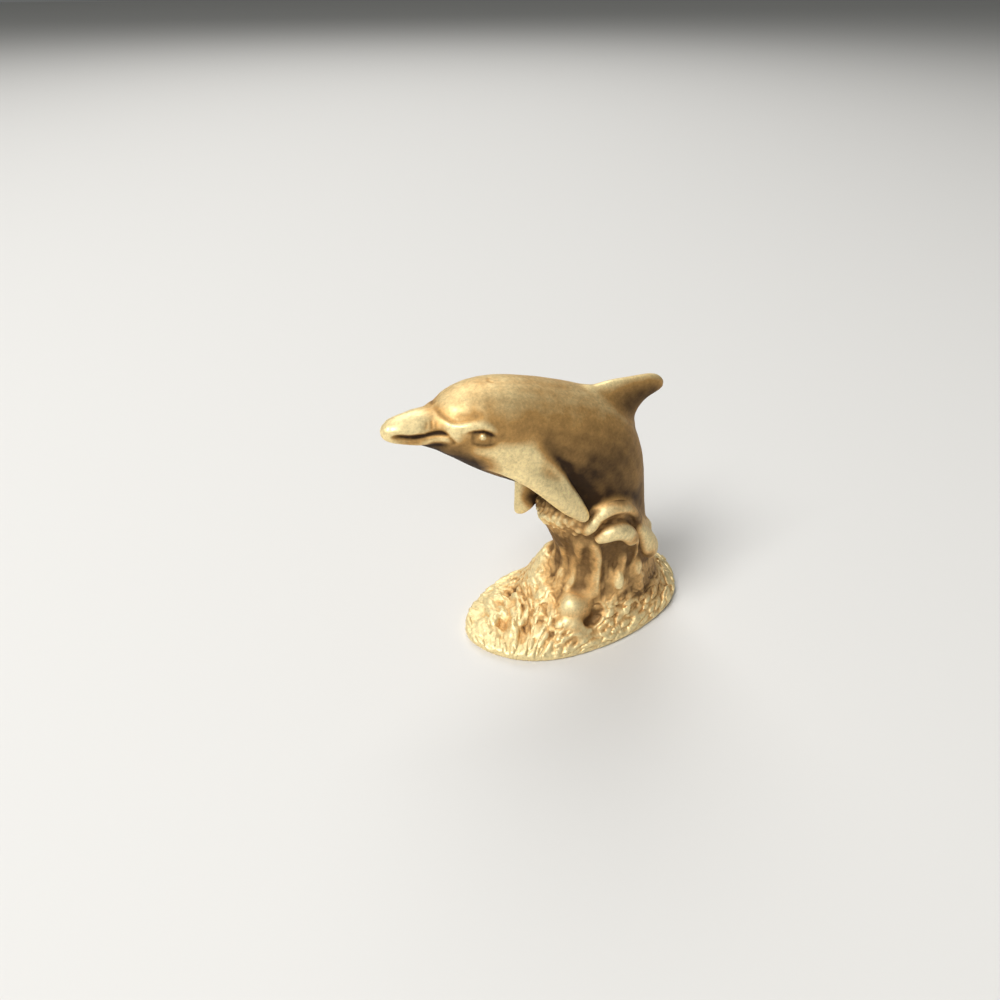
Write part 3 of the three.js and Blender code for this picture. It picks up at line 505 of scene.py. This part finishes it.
beadShape = {"subdivisions": 2, "densest": 6e6}


def beadTree():  # beads of foam scattered over the skin where it says foam
    tree = bpy.data.node_groups.new("foam beads", "GeometryNodeTree")
    given = treeInputs(tree, {
        "Diameter": "NodeSocketFloat", "Spacing": "NodeSocketFloat", "Smallest": "NodeSocketFloat",
        "Largest": "NodeSocketFloat", "Seed": "NodeSocketInt", "Metal": "NodeSocketMaterial"})
    foam = addNode(tree, "GeometryNodeInputNamedAttribute", {"data_type": "FLOAT"}, {"Name": "foam"})
    spots = addNode(tree, "GeometryNodeDistributePointsOnFaces", {"distribute_method": "POISSON"}, {
        "Mesh": given["Geometry"], "Distance Min": given["Spacing"], "Density Max": beadShape["densest"],
        "Density Factor": foam.outputs["Attribute"], "Seed": given["Seed"]})
    radius = addNode(tree, "ShaderNodeMath", {"operation": "MULTIPLY"}, {0: given["Diameter"], 1: 0.5})
    drop = addNode(tree, "GeometryNodeMeshIcoSphere", None,
                   {"Radius": radius.outputs[0], "Subdivisions": beadShape["subdivisions"]})
    size = addNode(tree, "FunctionNodeRandomValue", {"data_type": "FLOAT"}, {
        2: given["Smallest"], 3: given["Largest"], "Seed": given["Seed"]})
    placed = addNode(tree, "GeometryNodeInstanceOnPoints", None, {
        "Points": spots.outputs["Points"], "Instance": drop.outputs["Mesh"],
        "Scale": size.outputs[1]})
    real = addNode(tree, "GeometryNodeRealizeInstances", None, {"Geometry": placed.outputs[0]})
    metal = addNode(tree, "GeometryNodeSetMaterial", None,
                    {"Geometry": real.outputs[0], "Material": given["Metal"]})
    addNode(tree, "NodeGroupOutput", None, {"Geometry": metal.outputs[0]})
    return tree


lengthsIn = ["Length", "Thickness", "Bow", "Sunk", "Spacing", "Diameter"]  # inputs in millimetres


def grownOn(skinMesh, tree, values):  # runs a tree on the skin and gives what it grows, as points and faces
    holder = bpy.data.objects.new(tree.name, skinMesh)
    scene.collection.objects.link(holder)
    modifier = holder.modifiers.new("grow", "NODES")
    modifier.node_group = tree
    for item in tree.interface.items_tree:
        if item.in_out == "INPUT" and item.name in values:
            value = values[item.name]
            if item.name in lengthsIn:
                value *= millimetre
            modifier[item.identifier] = value
    depsgraph = bpy.context.evaluated_depsgraph_get()
    grown = bpy.data.meshes.new_from_object(holder.evaluated_get(depsgraph))
    points, faces = meshArrays(grown)
    bpy.data.objects.remove(holder)
    bpy.data.meshes.remove(grown)
    return points, faces


guideSpread = 6.0  # in square millimetres: within it a guide grows no stronger


def flowAngle(x, y):  # in radians. Directions count as the same when turned by half a turn
    total = np.zeros((2, len(x)))
    for guideX, guideY, angle in flowGuides:
        weight = 1 / ((x - guideX) ** 2 + (y - guideY) ** 2 + guideSpread) ** 1.5
        doubled = math.radians(2 * angle)
        total += weight * np.array([[math.cos(doubled)], [math.sin(doubled)]])
    return np.arctan2(total[1], total[0]) / 2


# Where strands and beads are sown on the water's skin: heights over the table, and distances off castings
sowing = {"steepFrom": 0.25, "steepTo": 0.6, "levelBelow": 3.0, "steepAbove": 6.0, "offDolphin": 0.8,
          "offRolls": 0.5, "facingUp": 0.25, "above": 1.1, "below": 24.0, "thinFrom": 9.0, "thinTo": 13.0,
          "thinned": 0.72}
bareBoss = {"x": -5.2, "y": -8.8, "reach": 3.8}  # nothing is sown on the boss
foamWhere = {"middleX": 5.5, "above": 26.5, "turnFrom": 120, "turnTo": 250}  # turns in degrees from +X

waterSkinPoints, _, waterSkinQuads = polygonsOf(water)
waterSkin = meshOf("water skin", waterSkinPoints, waterSkinQuads)
normals = np.zeros(len(waterSkinPoints) * 3)
waterSkin.vertices.foreach_get("normal", normals)
normals = normals.reshape(-1, 3)
x, y, z = waterSkinPoints.T
angle = flowAngle(x, y)
level = np.stack([np.cos(angle), np.sin(angle), np.zeros(len(x))], -1)
downward = np.stack([0 * x, 0 * x, -np.ones(len(x))], -1)
steep = smoothBetween(1 - np.abs(normals[:, 2]), sowing["steepFrom"], sowing["steepTo"])
steep = (steep * smoothBetween(z, sowing["levelBelow"], sowing["steepAbove"]))[:, None]
flow = level * (1 - steep) + downward * steep
outer = readAt(castings["dolphin_body"], waterSkinPoints) > sowing["offDolphin"]
onTop = (normals[:, 2] > sowing["facingUp"]) & (z > sowing["above"]) & (z < sowing["below"]) & outer
onRoll = np.minimum.reduce([readAt(castings[n], waterSkinPoints) for n in rollNodes]) < sowing["offRolls"]
onBoss = np.hypot(x - bareBoss["x"], y - bareBoss["y"]) < bareBoss["reach"]
sow = np.where(onTop & ~onRoll & ~onBoss, 1.0, 0.0)
sow = sow * (1 - sowing["thinned"] * smoothBetween(z, sowing["thinFrom"], sowing["thinTo"]))
turn = np.degrees(np.arctan2(y, x - foamWhere["middleX"])) % 360
headward = (turn > foamWhere["turnFrom"]) & (turn < foamWhere["turnTo"])
foam = np.where(outer & ~onRoll & (z > foamWhere["above"]) & headward, 1.0, 0.0)
for name, values, kind in (("sow", sow, "FLOAT"), ("foam", foam, "FLOAT"), ("flow", flow, "FLOAT_VECTOR")):
    field = waterSkin.attributes.new(name, kind, "POINT")
    field.data.foreach_set("vector" if kind == "FLOAT_VECTOR" else "value", values.ravel())

plain = water
strandNodes, beadNodes = strandTree(), beadTree()
for growth, tree in ((strands[0], strandNodes), (strands[1], strandNodes), (beads, beadNodes)):
    points, faces = grownOn(waterSkin, tree, growth)
    water = melted(water, clayOf(points, faces), growth["fillet"])
    print(tree.name, len(faces), "faces")
proudest = trimming["proud"] * smoothBetween(rulers[2], trimming["rimFrom"], trimming["rimTo"])[None, None, :]
water = softened(np.maximum(water, plain - proudest.astype(np.float32)), trimming["smoothing"])

# Rilles run along the flow, and low lumps lie between them. They fade out on the rim, the curls and lips and
# the boss, and are weaker on the wave and at the beak's end of the pool
waterGrain = {"rilles": 0.95, "height": 0.3, "drawn": 3.2, "samples": 9, "breadth": 0.11, "lumps": 1.5,
              "lumpHeight": 0.1, "sunk": 0.02, "rimFrom": 0.2, "rimTo": 1.0, "rollsFrom": 0.3, "rollsTo": 1.5,
              "waveFrom": 5.0, "waveTo": 10.0, "lessOnWave": 0.6, "steepFrom": 5.0, "steepTo": 12.0,
              "beakFrom": 11.0, "beakTo": 17.0, "lessAtBeak": 0.35}
smoothBoss = {"x": -4.8, "y": -9.0, "from": 2.8, "to": 4.6}
rolls = np.minimum.reduce([castings[name] for name in rollNodes])


def flowAt(at):  # level over the pool and downward on the wave
    angle = flowAngle(at[:, 0], at[:, 1])
    steepness = smoothBetween(at[:, 2], waterGrain["steepFrom"], waterGrain["steepTo"])
    return np.stack([np.cos(angle) * (1 - steepness), np.sin(angle) * (1 - steepness), -steepness], -1)


def grainOf(at):
    onWave = smoothBetween(at[:, 2], waterGrain["waveFrom"], waterGrain["waveTo"])
    atBeak = smoothBetween(-at[:, 0], waterGrain["beakFrom"], waterGrain["beakTo"])
    amount = smoothBetween(at[:, 2], waterGrain["rimFrom"], waterGrain["rimTo"])
    amount = amount * smoothBetween(readAt(rolls, at), waterGrain["rollsFrom"], waterGrain["rollsTo"])
    amount = amount * (1 - waterGrain["lessOnWave"] * onWave)
    fromBoss = np.hypot(at[:, 0] - smoothBoss["x"], at[:, 1] - smoothBoss["y"])
    offBoss = smoothBetween(fromBoss, smoothBoss["from"], smoothBoss["to"])
    amount = amount * np.maximum(offBoss, at[:, 1] > 0) * (1 - waterGrain["lessAtBeak"] * atBeak)
    way = flowAt(at)
    drawn = [lumps(at + travel * way, waterGrain["rilles"], 9)
             for travel in np.linspace(-waterGrain["drawn"], waterGrain["drawn"], waterGrain["samples"])]
    rille = np.exp(-((np.mean(drawn, axis=0) / waterGrain["breadth"]) ** 2))
    rough = waterGrain["lumpHeight"] * np.abs(lumps(at, waterGrain["lumps"], 7))
    return amount * (rough + waterGrain["height"] * rille) - waterGrain["sunk"]


roughen(water, grainOf)

print("parting the castings")
# Where the body meets the wave the two are run together, but the flippers stay clear of the foam. Each
# casting reaches a little past its joint, where it dips under its neighbour
jointWork = {"clearFrom": 0.3, "clearTo": 1.2, "overlap": 0.5, "dip": 0.15, "around": 1.6}
flipperGap = np.minimum(castings["left_flipper"], castings["right_flipper"]) - castings["dolphin_body"]
run = np.clip(1 - np.abs(dolphin - water) / waterWork["lipFillet"], 0, 1) ** 2 * (waterWork["lipFillet"] / 4)
run = run * smoothBetween(flipperGap, jointWork["clearFrom"], jointWork["clearTo"])
joined = np.minimum(dolphin, water) - run
boxLow = np.array(cadBox[0]) / millimetre
boxHigh = np.array(cadBox[1]) / millimetre


def facing(clay, points, reach=0.4):  # which way the skin faces, felt over that reach
    steps = np.eye(3) * reach
    faces = np.stack([readAt(clay, points + step) - readAt(clay, points - step) for step in steps], -1)
    return faces / np.maximum(np.linalg.norm(faces, axis=1, keepdims=True), 1e-6)


# The way up from the skin leans outward. A stop on it is free where the room round it is as wide as a share
# of the way travelled, or as wide as the block can tell
sky = {"lean": 0.8, "offSkin": 0.4, "stops": (1.5, 2.5, 4.0, 6.0, 9.0, 13.0), "room": 0.4, "widest": 0.9}


def paintedOverhangShade(clay, points, outward):  # 1 where other metal hangs close above the skin, 0 under open sky. It paints shade under overhangs
    way = outward * [sky["lean"], sky["lean"], 0] + [0, 0, 1]
    way /= np.linalg.norm(way, axis=1, keepdims=True)
    free = np.ones(len(points))
    for travel in sky["stops"]:
        room = min(sky["room"] * travel, sky["widest"] * block["reach"])
        free = np.minimum(free, readAt(clay, points + sky["offSkin"] * outward + travel * way) / room)
    return 1 - np.clip(free, 0, 1)


def largestIsland(points, quads):  # leaves out crumbs of clay that hang on nothing
    label = np.arange(len(points))
    edges = np.vstack([quads[:, [0, 1]], quads[:, [1, 2]], quads[:, [2, 3]], quads[:, [3, 0]]])
    while True:
        lowest = np.minimum(label[edges[:, 0]], label[edges[:, 1]])
        new = label.copy()
        np.minimum.at(new, edges[:, 0], lowest)
        np.minimum.at(new, edges[:, 1], lowest)
        new = new[new]
        if (new == label).all():
            break
        label = new
    kept = np.bincount(label[quads[:, 0]]).argmax()
    quads = quads[label[quads[:, 0]] == kept]
    used, index = np.unique(quads, return_inverse=True)
    return points[used], index.reshape(quads.shape)


def parted(name, clay, territory):  # the clay of one casting, closed at its joints
    low, high = [np.array(c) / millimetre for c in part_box(name)]
    part = boxRound(np.array([low, high]), jointWork["around"])
    edge = territory[part]
    own = clay[part] + jointWork["dip"] * np.maximum(edge, 0)
    own = np.maximum(own, edge - jointWork["overlap"])
    own[0], own[-1], own[:, 0], own[:, -1], own[:, :, 0], own[:, :, -1] = [block["reach"]] * 6
    points, _, quads = polygonsOf(own.astype(np.float32), [s.start for s in part])
    return largestIsland(points, quads)


def volumeOf(points, quads):  # below nought where the faces point inward
    a, b, c, d = [points[quads[:, k]] for k in range(4)]
    return (np.einsum("ij,ij->i", a, np.cross(b, c)) + np.einsum("ij,ij->i", a, np.cross(c, d))).sum() / 6


mostTriangles = 196000  # in one piece


def thinned(mesh):  # takes triangles out of a large piece where its skin is smooth
    count = 2 * len(mesh.polygons)
    if count <= mostTriangles:
        return mesh
    holder = bpy.data.objects.new("thinning", mesh)
    scene.collection.objects.link(holder)
    modifier = holder.modifiers.new("thin", "DECIMATE")
    modifier.ratio = mostTriangles / count
    modifier.use_collapse_triangulate = True
    thin = bpy.data.meshes.new_from_object(holder.evaluated_get(bpy.context.evaluated_depsgraph_get()))
    name = mesh.name
    bpy.data.objects.remove(holder)
    bpy.data.meshes.remove(mesh)
    thin.name = name
    return thin


def srgb(text):  # a hex colour as linear values
    parts = [int(text[i:i + 2], 16) / 255 for i in (1, 3, 5)]
    return [*(c / 12.92 if c <= 0.04045 else ((c + 0.055) / 1.055) ** 2.4 for c in parts), 1.0]


# Blotches and pits are the widths of the two patterns in millimetres
pewterLooks = {
    "dolphin": {"metal": "#c69a5b", "wornAndHighlight": "#fbe3a8", "patina": "#38230b", "roughness": 0.46, "grain": 0.5,
                "blotches": 3.846, "pits": 0.625},
    "water": {"metal": "#dcb172", "wornAndHighlight": "#f6e0a8", "patina": "#48290a", "roughness": 0.52, "grain": 0.5,
              "blotches": 3.846, "pits": 0.625},
}
# Lost-wax pewter, tumbled and toned: a satin skin with fine pits, brown tone left in the hollows and the
# crests rubbed bright, with painted shade and painted highlight laid over them. The tones lie at these depths
# of patina and painted shade, which the blotches push to and fro
# The bright rubbed colour also serves as painted highlight and the patina colour as painted shade
toneAt = {"wornAndHighlight": 0.22, "metal": 0.52, "patina": 0.86}
patinaLook = {"blotchPush": 0.22, "blotchDetail": 4.0, "blotchRoughness": 0.6, "pitDetail": 4.0,
              "pitRoughness": 0.65, "pitDepth": 0.06, "pitsFrom": 0.3, "pitsTo": 0.7, "darkest": 0.76,
              "brightest": 1.16, "metallic": 0.6, "dullFrom": 0.2, "dullTo": 0.9, "duller": 0.25}


def castPewter(name, look):
    material = bpy.data.materials.new(name)
    material.use_nodes = True
    tree = material.node_tree
    tree.nodes.clear()
    place = addNode(tree, "ShaderNodeTexCoord").outputs["Object"]
    # The hollow attribute holds patina and wear, together with painted shade and painted highlight
    hollow = addNode(tree, "ShaderNodeAttribute", {"attribute_name": "hollow"}).outputs["Fac"]
    blotch = addNode(tree, "ShaderNodeTexNoise", None,
                     {"Vector": place, "Scale": 1 / (look["blotches"] * millimetre),
                      "Detail": patinaLook["blotchDetail"], "Roughness": patinaLook["blotchRoughness"]})
    fine = addNode(tree, "ShaderNodeTexNoise", None,
                   {"Vector": place, "Scale": 1 / (look["pits"] * millimetre),
                    "Detail": patinaLook["pitDetail"], "Roughness": patinaLook["pitRoughness"]})
    mottled = addNode(tree, "ShaderNodeMath", {"operation": "MULTIPLY_ADD"},
                      {0: blotch.outputs["Fac"], 1: patinaLook["blotchPush"],
                       2: -patinaLook["blotchPush"] / 2})
    depth = addNode(tree, "ShaderNodeMath", {"operation": "ADD"}, {0: hollow, 1: mottled.outputs[0]})
    toned = addNode(tree, "ShaderNodeValToRGB", None, {"Fac": depth.outputs[0]})
    ramp = toned.color_ramp
    ramp.elements[0].position, ramp.elements[0].color = toneAt["wornAndHighlight"], srgb(look["wornAndHighlight"])
    ramp.elements[1].position, ramp.elements[1].color = toneAt["patina"], srgb(look["patina"])
    ramp.elements.new(toneAt["metal"]).color = srgb(look["metal"])
    speckled = addNode(tree, "ShaderNodeMapRange", None,
                       {"Value": fine.outputs["Fac"], "From Min": patinaLook["pitsFrom"],
                        "From Max": patinaLook["pitsTo"], "To Min": patinaLook["darkest"],
                        "To Max": patinaLook["brightest"]})
    colour = addNode(tree, "ShaderNodeMix", {"data_type": "RGBA", "blend_type": "MULTIPLY"},
                     {"Factor": 1.0, 6: toned.outputs["Color"], 7: speckled.outputs["Result"]})
    rough = addNode(tree, "ShaderNodeMapRange", None,
                    {"Value": depth.outputs[0], "From Min": patinaLook["dullFrom"],
                     "From Max": patinaLook["dullTo"], "To Min": look["roughness"],
                     "To Max": look["roughness"] + patinaLook["duller"]})
    pits = addNode(tree, "ShaderNodeBump", None,
                   {"Strength": look["grain"], "Distance": patinaLook["pitDepth"] * millimetre,
                    "Height": fine.outputs["Fac"]})
    shader = addNode(tree, "ShaderNodeBsdfPrincipled", None, {
        "Base Color": colour.outputs[2], "Metallic": patinaLook["metallic"],
        "Roughness": rough.outputs["Result"], "Normal": pits.outputs["Normal"]})
    addNode(tree, "ShaderNodeOutputMaterial", None, {"Surface": shader.outputs["BSDF"]})
    return material


dolphinMetal = castPewter("toned cast pewter with painted light, smooth skin", pewterLooks["dolphin"])
waterMetal = castPewter("toned cast pewter with painted light, rough water", pewterLooks["water"])
# The patina lies in the small hollows and the crests are rubbed bright. The undersides, the broad hollows and
# the skin under overhangs get painted shade, and the broad crests and the skin that faces up get painted
# highlight
patinaAndPaintedLight = {
    "dolphin": {"fine": 0.8, "middling": 0.9, "broad": 0.5, "paintedToplight": 0.3, "paintedOverhangShade": 0.1, "middle": 0.66,
                "deepest": 0.88},
    "water": {"fine": 0.44, "middling": 0.5, "broad": 0.4, "paintedToplight": 0.16, "paintedOverhangShade": 0.26, "middle": 0.54,
              "deepest": 0.78},
}
# Spots of painted highlight, and of painted shade where the number is above nought: x, z, reach and amount
paintedLightSpots = {
    "dolphin": [(-18.5, 46.8, 3.2, -0.48), (-12.5, 40.5, 3.0, -0.26), (-27.4, 55.2, 1.6, -0.2),
                (-28.9, 53.8, 1.6, -0.22), (-25.0, 50.5, 1.8, -0.2), (-18.0, 62.0, 3.5, -0.16),
                (1.0, 45.0, 7.0, 0.08), (14.5, 54.0, 5.0, 0.2), (20.0, 57.0, 5.0, 0.2),
                (8.5, 52.5, 3.5, 0.16), (-16.8, 49.5, 2.2, -0.22), (-20.6, 50.6, 1.8, -0.2),
                (-24.6, 53.3, 1.3, -0.12), (-22.6, 49.6, 1.7, -0.25), (-20.2, 48.0, 1.8, -0.2),
                (-13.6, 50.2, 1.8, 0.1), (-11.4, 47.4, 1.7, 0.1), (-9.6, 44.6, 1.5, 0.12),
                (-7.9, 40.6, 1.4, 0.16), (-10.2, 29.6, 2.2, 0.4)],
    "water": [(0.8, 32.4, 3.0, 0.2), (2.6, 34.2, 1.8, 0.25), (5.2, 30.6, 1.7, 0.3), (6.9, 28.6, 1.6, 0.5),
              (8.4, 26.8, 1.3, 0.45), (5.5, 25.3, 1.6, 0.42), (6.6, 21.4, 1.5, 0.45), (6.9, 19.2, 1.3, 0.4),
              (6.3, 16.4, 1.1, 0.25), (11.3, 17.2, 1.5, 0.5), (3.2, 20.0, 3.4, 0.26), (-5.5, 22.0, 3.5, 0.28),
              (-2.0, 16.0, 3.5, 0.1), (15.0, 7.0, 6.0, 0.2), (-1.0, 5.6, 1.5, 0.3), (-4.8, 9.2, 2.4, 0.14)],
}
# The fine and middling blurs lay patina in the hollows and rub the crests bright. The broad blur paints shade
# into broad hollows and highlight onto broad crests
blurReach = {"fine": 0.35, "middling": 0.7, "broad": 1.8}
blurs = {name: softened(joined, reach) for name, reach in blurReach.items()}
finClear = 3.0  # nearer the fin than this the broad painted shading counts less, or all of the thin fin gets painted highlight

for group, names in (("dolphin", dolphinNodes), ("water", waterNodes)):
    for name in names:
        others = np.minimum.reduce([castings[n] for n in names if n != name])
        territory = (castings[name] - others) / 2
        clay = joined
        if group == "dolphin":
            if "flipper" in name:
                clay = dolphin
            else:
                territory = np.maximum(territory, (dolphin - water) / 2)
        else:
            territory = np.maximum(territory, (water - dolphin) / 2)
        points, quads = parted(name, clay, territory)
        if volumeOf(points, quads) < 0:
            quads = quads[:, ::-1]
        mesh = thinned(meshOf(name + "_cast", points, quads))
        points = np.zeros(len(mesh.vertices) * 3)
        mesh.vertices.foreach_get("co", points)
        points = np.clip(points.reshape(-1, 3) / millimetre, boxLow, boxHigh)
        mesh.vertices.foreach_set("co", (points * millimetre).ravel())
        mesh.update()
        piece = bpy.data.objects.new(name + "_cast", mesh)
        scene.collection.objects.link(piece)
        amounts = patinaAndPaintedLight[group]
        # The tone depth at each point holds patina and wear, together with painted shade and painted
        # highlight
        depth = np.full(len(points), amounts["middle"])
        # Spots of painted highlight and painted shade
        for spotX, spotZ, reach, amount in paintedLightSpots[group]:
            apart = np.hypot(points[:, 0] - spotX, points[:, 2] - spotZ)
            depth = depth + amount * np.exp(-((apart / reach) ** 2))
        outward = facing(blurs["middling"], points)
        # Painted light from above: skin that faces up is painted brighter and skin that faces down darker
        depth = depth - amounts["paintedToplight"] * outward[:, 2]
        # Painted shade under overhangs
        depth = depth + amounts["paintedOverhangShade"] * paintedOverhangShade(joined, points, outward)
        fromFin = smoothBetween(readAt(castings["dorsal_fin"], points), 0.0, finClear)
        for blur, blurred in blurs.items():
            share = fromFin if blur == "broad" else 1
            depth = depth - share * amounts[blur] * readAt(blurred, points)
        # Stored as hollow, with the painted shade and painted highlight in it
        field = piece.data.attributes.new("hollow", "FLOAT", "POINT")
        field.data.foreach_set("value", np.clip(depth, 0, amounts["deepest"]).astype(np.float32))
        piece.data.shade_smooth()
        piece.data.materials.append(dolphinMetal if group == "dolphin" else waterMetal)
        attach(piece, "root")
        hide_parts(name)
        print(name, sum(len(face.vertices) - 2 for face in mesh.polygons), "triangles")

studio = {"floorReach": 3.0, "floorBelow": 0.00005, "floor": "#dcdad6", "floorRoughness": 0.9,
          "air": "#dfe2e0", "airStrength": 0.18}
print("setting the stage")
floorMesh = bpy.data.meshes.new("floor")
floorMesh.from_pydata([(x * studio["floorReach"], y * studio["floorReach"], -studio["floorBelow"])
                       for x, y in ((-1, -1), (1, -1), (1, 1), (-1, 1))], [], [(0, 1, 2, 3)])
floor = bpy.data.objects.new("floor", floorMesh)
scene.collection.objects.link(floor)
floorPaint = bpy.data.materials.new("pale floor")
floorPaint.use_nodes = True
floorShader = floorPaint.node_tree.nodes["Principled BSDF"]
floorShader.inputs["Base Color"].default_value = srgb(studio["floor"])
floorShader.inputs["Roughness"].default_value = studio["floorRoughness"]
floorMesh.materials.append(floorPaint)

world = bpy.data.worlds.new("studio")
scene.world = world
world.use_nodes = True
world.node_tree.nodes["Background"].inputs["Color"].default_value = srgb(studio["air"])
world.node_tree.nodes["Background"].inputs["Strength"].default_value = studio["airStrength"]

lamps = {
    "key": {"place": (-0.8, -0.25, 1.0), "size": 0.5, "power": 15.0},
    "back": {"place": (0.15, 0.82, 1.0), "size": 0.9, "power": 8.0},
    "front": {"place": (-0.5, -1.1, 0.7), "size": 0.9, "power": 3.0},
}
lampsAim = (0, 0, 0.03)
for name, lamp in lamps.items():
    data = bpy.data.lights.new(name, "AREA")
    data.energy = lamp["power"]
    data.size = lamp["size"]
    light = bpy.data.objects.new(name, data)
    light.location = lamp["place"]
    light.rotation_euler = (Vector(lampsAim) - light.location).to_track_quat("-Z", "Y").to_euler()
    scene.collection.objects.link(light)

# The photograph's view: 24 degrees round towards the beak, looking down by 36 degrees
view = {"lens": 27.04, "sensor": 36.0, "place": (-0.06519, -0.10496, 0.11751), "down": 36.0, "round": -24.0,
        "nearest": 0.005}
cameraData = bpy.data.cameras.new("camera")
cameraData.lens = view["lens"]
cameraData.sensor_width = view["sensor"]
cameraData.clip_start = view["nearest"]
camera = bpy.data.objects.new("camera", cameraData)
camera.location = view["place"]
camera.rotation_euler = (math.radians(90 - view["down"]), 0, math.radians(view["round"]))
scene.collection.objects.link(camera)
scene.camera = camera
scene.view_settings.view_transform = "Standard"
